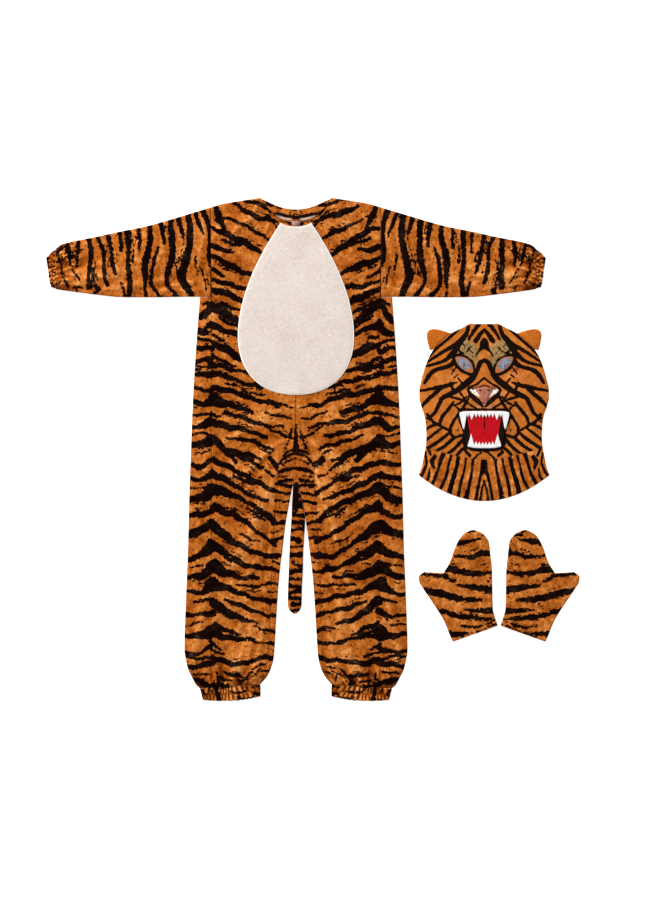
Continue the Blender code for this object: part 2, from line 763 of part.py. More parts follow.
def eye_ring(side, inset=0.0):
    """Plan points round an eye opening, from its outer corner over its upper lid."""
    tilt = math.radians(EYE_TILT)
    points = []
    for k in range(EYE_POINTS):
        angle = 2 * math.pi * k / EYE_POINTS
        lid = (EYE_RISE if math.sin(angle) > 0 else EYE_SINK) - inset
        along = (EYE_LENGTH / 2 - inset) * math.cos(angle)
        across = lid * math.sin(angle) * (1 - 0.25 * math.cos(angle) ** 2)
        reach = EYE_PLACE[0] + along * math.cos(tilt) - across * math.sin(tilt)
        drop = EYE_PLACE[1] - along * math.sin(tilt) - across * math.cos(tilt)
        points.append((side * reach, drop))
    return points


def mask_columns(half, count):
    """Shares across the mask, from -1 to 1, with two more at each end that round its edge."""
    edge = [1 - EDGE_RADIUS * (1 - math.cos(a)) / half for a in (0, math.pi / 4, math.pi / 2)]
    inner = 0.92 * edge[2]
    return [-edge[0], -edge[1], -edge[2], *between(-inner, inner, count), edge[2], edge[1], edge[0]]


FACE_DROPS = [0, 1.6, 5, 11.5, 21, 34, 49, 64, 78, 90, 102, 116, 132, 150, 168, 186, 204, 222, 240]
BACK_DROPS = [0, 1.6, 5, 11.5, 23, 44, 78, 116, 150, 196, 240]
FRONT_COLUMNS = 13
BACK_COLUMNS = 7
EYE_ROWS = (7, 10)
EYE_COLUMNS = (5, 8)
EYE_POINTS = 12


def seam_spot(share, gap):
    """A place along the seam between the face and the bib, a little above or below it."""
    drop = BIB_SEAM_SIDE
    for _ in range(4):
        drop = bib_seam(share * MASK("half", drop)) + gap
    return share * MASK("half", drop), drop


def hood_spot(share, drop):
    """A place on the hood. Its last rows are eased down on to the bib's seam."""
    foot = seam_spot(share, -SEAM_GAP / 2)[1]
    y = mix(drop, foot, ease(170, 240, drop))
    return share * MASK("half", y), y


def mask_face(outline, parent):
    """The face, with the two eye openings left out of its grid."""
    grid = []
    for drop in FACE_DROPS:
        columns = mask_columns(MASK("half", drop), FRONT_COLUMNS)
        grid.append([list(hood_spot(share, drop)) for share in columns])
    holes = set()
    count = len(grid[0])
    top, foot = EYE_ROWS
    first, last = EYE_COLUMNS
    ring = [(top, c) for c in range(first, last)] + [(r, last) for r in range(top, foot)]
    ring += [(foot, c) for c in range(last, first, -1)] + [(r, first) for r in range(foot, top, -1)]
    for side in SIDES.values():
        for (row, column), spot in zip(ring, eye_ring(side)):
            grid[row][column if side < 0 else count - 1 - column] = list(spot)
        for row in range(top, foot):
            for column in range(first, last):
                holes.add((row, column if side < 0 else count - 2 - column))
    wall = Wall("mask_face", "stripe_plush")
    table = [[outline.layer(x, y, True, MASK_LOFT) for x, y in row] for row in grid]
    for r in range(len(table) - 1):
        for c in range(count - 1):
            if (r, c) not in holes:
                wall.grid([table[r][c:c + 2], table[r + 1][c:c + 2]])
    return wall.build(parent)


def mask_back(outline, parent):
    rows = []
    for drop in BACK_DROPS:
        columns = mask_columns(MASK("half", drop), BACK_COLUMNS)
        rows.append([outline.layer(*hood_spot(share, drop), False, 0) for share in columns])
    return Wall("mask_back", "stripe_plush").grid(rows).build(parent)


def mask_bib(name, outline, is_upper, parent):
    """One layer of the flared bib, from the face's seam to the curved hem."""
    rows = []
    columns = mask_columns(MASK("half", BIB_SEAM_SIDE), FRONT_COLUMNS if is_upper else BACK_COLUMNS)
    for share in between(0, 1, 5):
        row = []
        for f in columns:
            head = seam_spot(f, SEAM_GAP / 2)[1]
            hem = mix(MASK_HEM_MIDDLE, MASK_HEM_CORNER, f * f)
            y = mix(head, hem, share)
            row.append(outline.layer(f * MASK("half", y), y, is_upper, MASK_LOFT))
        rows.append(row)
    return Wall(name, "stripe_plush").grid(rows).build(parent)


def applique(name, material, outline, rows, level, parent):
    """A flat piece of felt on the mask's face, on the given level of the stack."""
    lift = SEAM_GAP + level * (FELT + SEAM_GAP)
    wall = Wall(name, material)
    grid = []
    for row in rows:
        pairs = []
        for x, drop in row:
            z = outline.layer(x, drop, True, MASK_LOFT)[0][2] + lift
            pairs.append(((x, -drop, z + FELT), (x, -drop, z)))
        grid.append(pairs)
    return wall.grid(grid).build(parent)


def mouth(outline, parent):
    """The open mouth, in layers of felt: a black lining, the red tongue and two rows of teeth."""
    shares = between(-1, 1, 7)
    drops = [MOUTH_TOP, 182, 200, 220, 240, MOUTH_FOOT]
    lining = [[(f * MOUTH("lining", d), d) for f in shares] for d in drops]
    applique("mouth_lining", "black_felt", outline, lining, 0, parent)
    red = [[(f * MOUTH("tongue", d), d) for f in shares] for d in between(MOUTH_TOP + 6, 247, 5)]
    applique("tongue", "red_felt", outline, red, 1, parent)
    points = [row[0] for row in UPPER_TEETH.rows]
    reaches = [*[-x for x in reversed(points)], *points[1:]]
    head = [(x, MOUTH_TOP + 0.6 + 3 * (abs(x) / 50) ** 8) for x in reaches]
    teeth = [dict(UPPER_TEETH.rows)[abs(x)] for x in reaches]
    middle = [(x, mix(y, foot, 0.5)) for (x, y), foot in zip(head, teeth)]
    upper_rows = [head, middle, list(zip(reaches, teeth))]
    applique("upper_teeth", "white_felt", outline, upper_rows, 2, parent)
    points = [row[0] for row in LOWER_TEETH.rows]
    reaches = [*[-x for x in reversed(points)], *points[1:]]
    heads = [dict(LOWER_TEETH.rows)[abs(x)] for x in reaches]
    foot = [(x, LOWER_GUM - 4 * (abs(x) / 33.5) ** 4) for x in reaches]
    middle = [(x, mix(head, y, 0.5)) for (x, y), head in zip(foot, heads)]
    lower_rows = [list(zip(reaches, heads)), middle, foot]
    applique("lower_teeth", "white_felt", outline, lower_rows, 2, parent)


def nose(outline, parent):
    drops = [row[0] for row in NOSE.rows]
    rows = [[(f * NOSE("half", d), d) for f in between(-1, 1, 7)] for d in drops]
    return applique("nose", "nose_felt", outline, rows, 0, parent)


def eye_net(name, side, outline, parent):
    """The see-through net that fills an eye opening, a little below the face."""
    rows = []
    for share in (1, 0.5):
        ring = eye_ring(side, inset=0.4)
        row = []
        for x, drop in ring:
            x = mix(side * EYE_PLACE[0], x, share)
            drop = mix(EYE_PLACE[1], drop, share)
            z = outline.layer(x, drop, True, MASK_LOFT)[0][2] - 0.7
            row.append(((x, -drop, z), (x, -drop, z - EYE_NET)))
        rows.append(row)
    x, drop = side * EYE_PLACE[0], EYE_PLACE[1]
    z = outline.layer(x, drop, True, MASK_LOFT)[0][2] - 0.7
    middle = ((x, -drop, z), (x, -drop, z - EYE_NET))
    rows.append([middle] * len(rows[0]))
    return Wall(name, "eye_net").grid(rows, closed=True).build(parent)


def ear(name, side, outline, parent):
    """A soft ear of plain plush, sewn in at the edge of the hood."""
    rows = []
    for share in between(0, 1, 10):
        contour = Vector((EAR("reach", share), EAR("drop", share)))
        drop = mix(EAR_FOOT, EAR_HEAD, share)
        root = Vector((MASK("half", drop), drop)) + Vector((0.62, -0.78)) * (SEAM_GAP + 0.2)
        row = []
        for f in (0, 0.3, 0.65, 0.9, 1):
            spot = root.lerp(contour, f)
            bulge = math.sqrt(max(0.0, 1 - f**4)) * math.sqrt(max(0.0, 1 - abs(2 * share - 1) ** 5))
            rise = mix(0.5, EAR_HEIGHT / 2, bulge)
            fall = mix(0.5, EAR_HEIGHT / 2, min(1, 1.5 * bulge))
            x = side * spot.x
            row.append(((x, -spot.y, EAR_HEIGHT / 2 + rise), (x, -spot.y, EAR_HEIGHT / 2 - fall)))
        rows.append(row)
    return Wall(name, "ear_plush").grid(rows).build(parent)


def mitt_outline(side):
    """The mitt's sewn edge, from the cuff's inner corner over the thumb and the hand."""
    thumb_drops = between(THUMB.rows[-1][0], THUMB.rows[0][0], OUTLINE_STEPS)
    hand_drops = [THUMB_ROOT[1] * (k / OUTLINE_STEPS) ** 2 for k in range(OUTLINE_STEPS + 1)]
    cuff_drops = between(THUMB_ROOT[1], CUFF_OUTER[1], OUTLINE_STEPS)[1:]
    points = [(CUFF_INNER[0], -CUFF_INNER[1])]
    points += [(THUMB("outer", drop), -drop) for drop in thumb_drops]
    points += [(HAND("inner", drop), -drop) for drop in reversed(hand_drops)]
    points += [(HAND("outer", drop), -drop) for drop in hand_drops + cuff_drops]
    points = [(side * -x, y) for x, y in points]
    return Outline(points if side > 0 else reversed(points))


def mitt_layer(name, side, is_upper, parent):
    """One layer of a mitt: the hand in one grid, and the thumb in another beside it."""
    outline = mitt_outline(side)

    def pair(x, drop):
        return outline.layer(side * -x, drop, is_upper, MITT_LOFT)

    wall = Wall(name, "stripe_plush")
    rows = []
    for drop in (0, 0.9, 4.5, 10, 20, 36, 60, THUMB_ROOT[1]):
        left, right = HAND("inner", drop), HAND("outer", drop)
        rows.append([pair(mix(left, right, s), drop) for s in with_edges(right - left, 4)])
    wall.grid(rows)
    rows, root = [], []
    for share in between(0, 1, 7):
        start = Vector(THUMB_ROOT).lerp(Vector(CUFF_INNER), share)
        drop = mix(THUMB_ROOT[1], CUFF_OUTER[1], share)
        end = Vector((HAND("outer", drop), drop))
        width = (end - start).length
        rows.append([pair(*start.lerp(end, s)) for s in with_edges(width, 4)])
        root.append(start)
    wall.grid(rows)
    rows = []
    for k, start in enumerate(root):
        head = mix(THUMB.rows[0][0], THUMB.rows[-1][0], (k / (len(root) - 1)) ** 1.25)
        end = Vector((THUMB("outer", head), head))
        if k == len(root) - 1:
            end = start
        width = max(2 * EDGE_RADIUS, (start - end).length)
        rows.append([pair(*start.lerp(end, 1 - s)) for s in reversed(with_edges(width, 3))])
    wall.grid(rows)
    return wall.build(parent)


def jumpsuit(place):
    for name, side in SIDES.items():
        front_panel(f"front_{name}", side, place)
        back_panel(f"back_{name}", side, place)
        sleeve(f"sleeve_{name}", side, place)
        wrist_casing(f"wrist_casing_{name}", side, place)
        ankle_casing(f"ankle_casing_{name}", side, place)
    gusset(place)
    neck_facing(place)
    neck_label(place)
    belly_patch(place)
    tail(place)


def mask(place):
    outline = mask_outline()
    mask_face(outline, place)
    mask_back(outline, place)
    mask_bib("bib_front", outline, True, place)
    mask_bib("bib_back", outline, False, place)
    mouth(outline, place)
    nose(outline, place)
    for name, side in SIDES.items():
        eye_net(f"eye_net_{name}", side, outline, place)
        ear(f"ear_{name}", side, outline, place)


def centre_on_floor(root):
    """Moves the layout so that the middle of its outline is at the origin."""
    bpy.context.view_layer.update()
    corners = [
        piece.matrix_world @ vertex.co
        for piece in bpy.data.objects if piece.type == "MESH"
        for vertex in piece.data.vertices
    ]
    for axis in (0, 1):
        values = [corner[axis] for corner in corners]
        root.location[axis] -= (min(values) + max(values)) / 2
    root.location.z -= min(corner.z for corner in corners)


def main():
    clear_scene()
    make_materials()
    root = holder("costume", 0, 0)
    jumpsuit(holder("jumpsuit", 0, 0, root))
    mask(holder("mask", MASK_PLACE[0], -MASK_PLACE[1], root))
    for name, side in SIDES.items():
        x, drop = MITT_PLACES[name]
        place = holder(f"mitt_{name}", x, -drop, root)
        mitt_layer(f"mitt_back_{name}", side, True, place)
        mitt_layer(f"mitt_palm_{name}", side, False, place)
    centre_on_floor(root)


main()
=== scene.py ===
"""Dresses a child's tiger costume: striped plush, a cream belly, felt mouth and nose, netted eyes.

Lengths are in millimetres until a mesh is made. On each garment, drop is the distance down from
its top and reach the distance out from its centre line. Left is the side at -X.
"""
import math

import bmesh
import bpy
import numpy as np
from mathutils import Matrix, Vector


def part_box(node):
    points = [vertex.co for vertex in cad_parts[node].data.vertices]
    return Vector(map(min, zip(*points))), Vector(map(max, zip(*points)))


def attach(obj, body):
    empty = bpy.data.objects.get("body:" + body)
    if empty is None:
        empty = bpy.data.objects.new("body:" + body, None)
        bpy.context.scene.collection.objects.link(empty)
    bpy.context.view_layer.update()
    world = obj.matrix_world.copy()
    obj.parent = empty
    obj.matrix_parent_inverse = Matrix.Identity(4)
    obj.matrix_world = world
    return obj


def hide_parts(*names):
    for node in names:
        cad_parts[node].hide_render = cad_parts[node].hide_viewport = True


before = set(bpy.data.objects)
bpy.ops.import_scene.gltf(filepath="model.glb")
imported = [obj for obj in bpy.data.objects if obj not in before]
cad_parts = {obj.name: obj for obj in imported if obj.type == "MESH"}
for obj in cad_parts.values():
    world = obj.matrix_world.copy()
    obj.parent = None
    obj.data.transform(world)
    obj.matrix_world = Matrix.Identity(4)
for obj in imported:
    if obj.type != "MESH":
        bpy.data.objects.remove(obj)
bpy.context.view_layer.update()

MM = 0.001
METRE = 1000
SIDES = {"left": -1, "right": 1}
rng = np.random.default_rng(7)

WHITE = (1, 1, 1, 1)

# Folded and sewn edges, the gaps at seams and the thickness of each cloth
EDGE_RADIUS = 3.0
EDGE_HEIGHT = 2 * EDGE_RADIUS
SEAM_GAP = 0.3
HALF_GAP = SEAM_GAP / 2
SEAM_SLIT = 0.06
HALF_SLIT = SEAM_SLIT / 2
WALL = 2.0
BELLY_WALL = 1.5
FACING_WALL = 0.9
NET_WALL = 0.5
FELT = 1.2
WELD = 0.02

# How the cloth swells and folds, and the distances that count as far from a seam or a print
LOFT = 0.9
LOFT_RUN = 28
CREASE_BEND = 0.35
CREASE_SIZE = 1.6
WRINKLE_SIZE = 1.7
PUCKER_HEIGHT = 2.1
PUCKER_SPREAD = 1.8
# The fold height, in millimetres, that gets the plush's full painted highlight
PAINTED_LIGHT_RANGE = 2.2
FAR = 99
FAR_OFF = 30.0

# How deep and wide a seam dips
SUIT_DIP = (0.8, 2.8)
ARMHOLE_DIP = (1.0, 3.2)
UNDERARM_DIP = (0.8, 2.6)
BIB_DIP = (1.1, 3)

# The jumpsuit's front, from the neck to the ankles
CHEST_LINE = 74
ARMHOLE = 170
ARMPIT = 198.6
SIDE_SEAM = 168
NECK_HALF = 70
CROTCH = 569.6
GUSSET_HALF = 36
GUSSET_FOOT = 540
GUSSET_RISE = 31
GUSSET_SWELL = 0.9
ANKLE_SEAM = 980
ANKLE_SLANT = 9
LEG_FOOT = ANKLE_SEAM - HALF_SLIT
YOKE_HEAD = (0, 0.006, 0.02, 0.045)
FRONT_STEP = 2.8
BACK_STEP = 3
SUIT_WAVER = 3.6

# The sleeves and the gathered casings
UNDERARM_FOLD = 18
FOREARM = 440
FOREARM_STEP = 2.2
WRIST_SEAM = 479
WRIST_GATHERS = 18
WRIST_PUCKERS = 0.56 * WRIST_GATHERS
WRIST_PUCKER_RUN = 25
ANKLE_GATHERS = 30
ANKLE_PUCKERS = 0.36 * ANKLE_GATHERS
ANKLE_PUCKER_RUN = 28
ANKLE_PUCKER_TOP = 800
CASING_HEIGHT = 7.6
GATHER_DEPTH = 3.6
STITCH_DEPTH = 1.1
SCALLOP = 1.6

# The facing in the neck, the belly patch and the tail
FACING_HALF = 60
FACING_DEPTH = 23
BELLY_TOP_HALF = 30.0
BELLY_WIDEST = 274
BELLY_HALF = 116
BELLY_RISE = 264
BELLY_FALL = 120
BELLY_FOOT = BELLY_WIDEST + BELLY_FALL
BELLY_HEAD_POWER = 1.8
BELLY_FOOT_POWER = 2.25
BELLY_PILE = 1.8
TAIL_BANDS = 17

# Each sheet's flat cut in metres, and how much more cloth than its face a gathered one holds
CUTS = {
    "front": (0.172, 0.985), "back": (0.275, 0.985), "crotch_gusset": (0.072, 0.061),
    "sleeve": (0.36, 0.31), "wrist_casing": (0.24, 0.024), "ankle_casing": (0.35, 0.03),
    "neck_facing": (0.121, 0.042), "neck_label": (0.017, 0.012), "belly_patch": (0.234, 0.345),
    "mask_face": (0.262, 0.274), "mask_back": (0.262, 0.274), "bib_front": (0.264, 0.105),
    "bib_back": (0.264, 0.105), "eye_net": (0.042, 0.04), "nose": (0.033, 0.037),
    "mouth_lining": (0.101, 0.08), "tongue": (0.073, 0.068), "upper_teeth": (0.1, 0.037),
    "lower_teeth": (0.068, 0.036), "mitt_back": (0.16, 0.225), "mitt_palm": (0.16, 0.225),
}
FULLNESS = {"wrist_casing": 1.22, "ankle_casing": 1.1}

# The floor, the lamps as name, place, size and power, and the camera
FLOOR_HALF = 4
FLOOR_SINK = 0.3
LAMPS = (("key", (-3.0, 3.3, 2.6), 1.4, 348), ("fill", (1.9, -0.6, 2.2), 1.8, 15))
LENS = 85
PICTURE_HEIGHT = 1.8
PICTURE_MIDDLE = (68, 504)


def slopes(at, size):
    """Slopes at the stations of a curve that never overshoots them."""
    rise = np.diff(size) / np.diff(at)
    low, high = rise[:-1], rise[1:]
    same = low * high > 0
    inner = np.where(same, 2 * low * high / np.where(same, low + high, 1), 0)
    return np.concatenate([rise[:1], inner, rise[-1:]])


def smooth_between(at, size, places):
    """Reads a smooth curve through the stations, at an array of places."""
    at, size = np.asarray(at, float), np.asarray(size, float)
    slope = slopes(at, size)
    places = np.clip(places, at[0], at[-1])
    k = np.clip(np.searchsorted(at, places, side="right") - 1, 0, len(at) - 2)
    step = at[k + 1] - at[k]
    t = (places - at[k]) / step
    return (
        size[k] * (1 + 2 * t) * (1 - t) ** 2
        + size[k + 1] * t * t * (3 - 2 * t)
        + step * t * (1 - t) * (slope[k] * (1 - t) - slope[k + 1] * t)
    )


class Profile:
    """Sizes at a few stations, in named columns."""

    def __init__(self, columns, *rows):
        self.columns = columns.split()
        self.rows = np.array(rows, float)

    def column(self, name):
        return self.rows[:, self.columns.index(name)]

    def __call__(self, name, at):
        return smooth_between(self.rows[:, 0], self.column(name), at)


BODY = Profile(
    "drop outer",
    (198, 192), (304, 200), (404, 206), (504, 210), (604, 213.5), (704, 216), (804, 220),
    (904, 223), (924, 220), (944, 215), (954, 210), (964, 205), (974, 199), (980, 192),
)
LEG = Profile(
    "drop inner seam",
    (540, 2, 36), (567, 2.5, 36.4), (578, 7, 37), (590, 9.5, 37.5), (614, 14, 39.5),
    (654, 21, 42.5), (704, 27, 45.5), (754, 33, 48), (804, 37, 50), (854, 40, 52), (904, 43, 54),
    (924, 45, 56.5), (944, 49.5, 61.5), (964, 57.5, 70), (980, 70, 82),
)
SHOULDER = Profile("reach drop", (70, 0), (98, 4), (146, 12), (170, 19))
NECK = Profile(
    "reach front back",
    (0, 58, 23), (15, 56.5, 22), (30, 50.5, 18.5), (45, 40, 12.5), (58, 25, 6.5), (70, 0, 0),
)
SLEEVE = Profile(
    "reach top bottom",
    (170, 19, 198), (220, 34, 198), (260, 46, 198.6), (300, 57, 199), (350, 67, 198.5),
    (400, 78, 193.5), (450, 88, 187), (468, 93, 184.5), (480, 101, 182.5),
)
CASING_COLUMNS = "share first_reach first_drop last_reach last_drop bow"
WRIST = Profile(
    CASING_COLUMNS,
    (0.0, 479.04, 101, 479.04, 182.5, 0), (0.5, 489, 107, 484.5, 181.5, 0),
    (1.0, 499, 119, 489.5, 179.5, 0),
)
ANKLE = Profile(
    CASING_COLUMNS,
    (0.0, 70, 971.04, 192, 980.04, 0), (0.5, 69, 984, 190.5, 992, 2.5),
    (1.0, 70, 996, 187, 1003, 5),
)
TAIL = Profile(
    "drop left right height",
    (569.4, -5, 5, 4.5), (577, -6, 9, 5.5), (590, -6.6, 12, 6.5), (614, -8, 17, 7.5),
    (640, -9.2, 18.4, 8), (684, -12, 16.4, 8.5), (704, -13, 15, 8.5), (744, -14.4, 14, 8.5),
    (784, -16, 12, 8.5), (812, -16.4, 11.4, 8), (824, -13, 8, 7), (831, -5.5, 1, 4),
)

# Creases: the side that has them (0 is both), their middle, the way they run and their size
CREASE_COLUMNS = "side reach drop turn length width height"
SUIT_CREASES = Profile(
    CREASE_COLUMNS,
    (0, 120, 70, 68, 90, 13, 0.9), (0, 140, 140, 20, 80, 15, -0.8), (-1, 146, 236, 8, 90, 15, 1.0),
    (1, 150, 262, -12, 90, 15, -0.9), (0, 100, 440, 24, 120, 16, 0.9),
    (0, 64, 486, 32, 95, 13, -1.0), (0, 92, 534, 38, 110, 14, 1.2), (0, 70, 600, 78, 130, 12, 1.1),
    (0, 130, 610, 30, 100, 17, -0.9), (-1, 110, 700, 50, 120, 16, 1.1),
    (1, 118, 724, 62, 130, 16, -1.1), (0, 78, 760, 84, 140, 12, -0.9),
    (0, 140, 830, 40, 90, 15, 1.0), (0, 92, 868, 80, 120, 13, 1.2), (0, 124, 930, 86, 70, 10, 1.4),
    (0, 156, 946, 84, 60, 9, -1.2), (0, 96, 950, 80, 60, 9, -1.2),
)
SUIT_WRINKLES = Profile(
    CREASE_COLUMNS,
    (0, 150, 60, 60, 60, 5, 1.1), (0, 128, 104, 40, 70, 5, -0.9), (0, 155, 176, -30, 70, 5, 1.3),
    (0, 150, 208, -14, 90, 6, -1.2), (-1, 140, 228, 4, 60, 5, 1.0), (1, 138, 300, -20, 60, 6, 1.0),
    (0, 40, 430, 14, 90, 6, 0.9), (-1, 110, 470, 26, 120, 6, 1.2), (1, 104, 462, 20, 110, 6, 1.2),
    (0, 58, 512, 44, 80, 5, 1.4), (0, 84, 552, 50, 110, 6, -1.3), (0, 48, 570, 74, 90, 5, 1.4),
    (0, 104, 586, 44, 120, 7, 1.2), (-1, 78, 640, 64, 120, 6, 1.3), (1, 72, 655, 70, 120, 6, 1.3),
    (0, 140, 690, 70, 90, 6, -1.0), (0, 60, 702, 84, 120, 5, -1.0), (0, 100, 760, 60, 110, 6, 1.1),
    (-1, 150, 780, 30, 70, 6, 1.0), (1, 84, 806, 76, 90, 5, 1.2), (0, 120, 870, 58, 90, 6, 1.1),
    (0, 70, 890, 82, 110, 5, 1.3), (0, 110, 924, 74, 70, 5, 1.5), (0, 146, 916, 66, 70, 5, -1.2),
    (0, 198, 700, 84, 160, 6, 1.0), (0, 190, 850, 78, 150, 6, 1.2), (0, 204, 920, 96, 70, 5, 1.2),
    (0, 196, 380, 88, 190, 7, 0.9), (0, 186, 500, 94, 120, 6, 0.9), (0, 184, 260, 84, 80, 6, 1.0),
    (0, 158, 954, 92, 46, 7, 1.9), (0, 147, 956, 95, 44, 3.4, -1.5),
    (0, 118, 941, 135, 34, 4.5, 1.6), (0, 84, 940, 50, 38, 4.5, 1.6), (0, 78, 962, 100, 26, 5, 1.5),
    (0, 100, 958, 160, 40, 4.5, 1.4), (0, 182, 950, 70, 40, 5, 1.4), (0, 56, 12, 40, 36, 4, 1.3),
    (0, 84, 30, 55, 60, 4.5, 1.4), (0, 102, 52, 35, 70, 5, 1.2), (0, 60, 66, 60, 50, 4, 1.1),
    (0, 96, 966, 60, 26, 3.6, 1.9), (0, 112, 970, 112, 22, 3.6, -1.7),
    (0, 130, 964, 78, 28, 4, 1.8), (0, 172, 966, 102, 28, 4, 1.8), (0, 140, 972, 96, 18, 3.4, 1.7),
    (0, 90, 926, 120, 40, 4.5, 1.4),
)
SLEEVE_CREASES = Profile(
    CREASE_COLUMNS,
    (0, 214, 90, 80, 120, 15, 0.9), (0, 256, 160, 30, 90, 14, -0.9),
    (-1, 320, 110, 76, 90, 14, 0.8), (1, 300, 128, 60, 90, 14, 1.0),
    (0, 372, 150, 20, 100, 13, 1.1), (0, 410, 118, 40, 80, 12, -1.1),
    (0, 440, 158, 14, 80, 10, 1.4), (0, 446, 132, -10, 60, 9, -1.2), (0, 458, 112, -24, 44, 8, 1.2),
)
SLEEVE_WRINKLES = Profile(
    CREASE_COLUMNS,
    (0, 186, 70, 84, 90, 5, 1.2), (0, 190, 150, 70, 70, 5, -1.1), (0, 206, 182, 12, 70, 5, 1.2),
    (0, 240, 178, 18, 80, 5, 1.3), (0, 270, 110, 78, 90, 6, 0.9), (-1, 300, 172, 16, 90, 5, 1.1),
    (1, 320, 166, 22, 90, 5, 1.1), (0, 350, 176, 10, 80, 5, 1.0), (0, 396, 160, 8, 90, 5, 1.4),
    (0, 410, 140, 22, 80, 5, 1.2), (0, 428, 120, 30, 70, 5, 1.2), (0, 424, 172, -4, 70, 4.5, 1.3),
    (0, 452, 140, 30, 36, 3.6, 1.9), (0, 448, 160, -10, 40, 3.6, -1.8),
    (0, 462, 168, 20, 30, 3.6, 1.9), (0, 436, 150, 50, 32, 4, 1.6),
    (0, 456, 124, -40, 30, 3.6, 1.9), (0, 444, 112, 60, 28, 3.6, -1.7),
)
GARMENT_CREASES = Profile(
    CREASE_COLUMNS,
    (-1, 60, 150, 60, 90, 10, 0.9), (1, 70, 160, 120, 90, 10, 0.9), (0, 90, 210, 70, 60, 7, 0.9),
    (0, 30, 300, 84, 70, 9, 1.0), (0, 76, 296, 76, 70, 8, -0.9), (0, 108, 290, 66, 50, 7, 0.8),
    (-1, 20, 40, 10, 90, 12, 0.8), (1, 34, 60, -20, 80, 12, 0.8), (0, 40, 318, 98, 80, 7, -1.0),
    (-1, 66, 310, 104, 70, 7, 0.9), (1, 60, 312, 106, 70, 7, 0.9), (0, 8, 330, 92, 60, 8, 0.9),
)
MITT_CREASES = Profile(
    CREASE_COLUMNS,
    (0, -62, 112, 30, 50, 6, 1.2), (0, -44, 130, 60, 60, 7, -1.0), (0, 6, 60, 80, 70, 10, 0.8),
    (0, 20, 150, 100, 60, 8, 0.9), (0, -20, 186, 20, 70, 7, 0.9), (0, 26, 20, 40, 30, 7, -0.7),
)

MASK = Profile(
    "drop half",
    (0, 20), (1.5, 28), (4.5, 37), (9, 46.5), (15, 59), (22, 72), (35, 87), (50, 100), (65, 109.5),
    (86, 118), (109, 124.5), (134, 129.5), (147, 129.5), (165, 125.5), (183, 119.5), (200, 116.5),
    (226, 115.5), (246, 117), (264, 120.5), (285, 124.5), (302, 131),
)
MASK_HEM_CORNER = 302
MASK_HEM_MIDDLE = 354
BIB_SEAM_SIDE = 252
BIB_SEAM_MIDDLE = 271
BIB_WAVER = 1.6
BACK_SHIFT = 0.6
MASK_LOFT = 1.6
EAR_TUCK = 1.2
EYE_PLACE = (40.5, 82.5)
EYE_LENGTH = 50
EYE_RISE = 15.5
EYE_SINK = 10
EYE_TILT = math.radians(42)
EYE_POINTS = 48
UPPER_LINER = 3
LOWER_LINER = 5.5
CROWN = 170
FACE_FOOT = 240
NET_PITCH = 1.6
MOUTH_TOP = 174
MOUTH_FOOT = 253
TONGUE_ENDS = (180, 247)
NOSE_ENDS = (122, 158)
LOWER_GUM = 248.5
MOUTH = Profile(
    "drop lining tongue",
    (174, 49.5, 35), (180, 50, 34.5), (196, 46, 32.5), (214, 42, 29.5), (232, 38, 27.5),
    (246, 34, 25), (253, 28, 20),
)
NOSE = Profile("drop half", (122, 5), (125, 12), (129, 15.5), (136, 14), (146, 8.5), (158, 4.5))
UPPER_TEETH = Profile(
    "reach tip",
    (0, 182), (3.2, 187.5), (6.4, 180), (9.8, 187), (13, 179.5), (16.5, 188), (20, 180), (25, 193),
    (30, 181), (33, 187), (35.5, 181), (38, 198), (40.5, 211), (43, 209), (46.5, 195), (49.6, 182),
)
LOWER_TEETH = Profile(
    "reach tip",
    (0, 242), (3.2, 236), (6.5, 242), (10, 235.5), (13, 242), (16.5, 234.5), (20, 241.5),
    (23.5, 230), (26.5, 219), (29.5, 230), (33.5, 243),
)

HAND = Profile(
    "drop inner outer",
    (0, 0, 7), (3, -7, 16), (7, -15, 22.5), (13, -20.6, 29), (22.6, -26.5, 34.4), (38.6, -34, 37),
    (50, -37.5, 38), (70.8, -46, 40.5), (86, -55, 41.5), (119, 0, 42), (159, 0, 43), (169, 0, 45.5),
    (179, 0, 48.5), (191, 0, 53),
)
THUMB = Profile(
    "drop outer",
    (84, -93), (86, -98), (93.8, -105.4), (103, -104.4), (116.8, -96.4), (144.4, -78), (165, -64.4),
    (185.6, -52.8), (208.6, -43.6), (222, -38),
)
THUMB_ROOT = (-55, 86)
THUMB_HEAD = 84.0
THUMB_FOOT = 222.0
CUFF_INNER = (-37, 223)
CUFF_OUTER = (53, 191)
MITT_LOFT = 1.2
MITT_HEM = 7
MITT_HEM_LEAN = 0.94

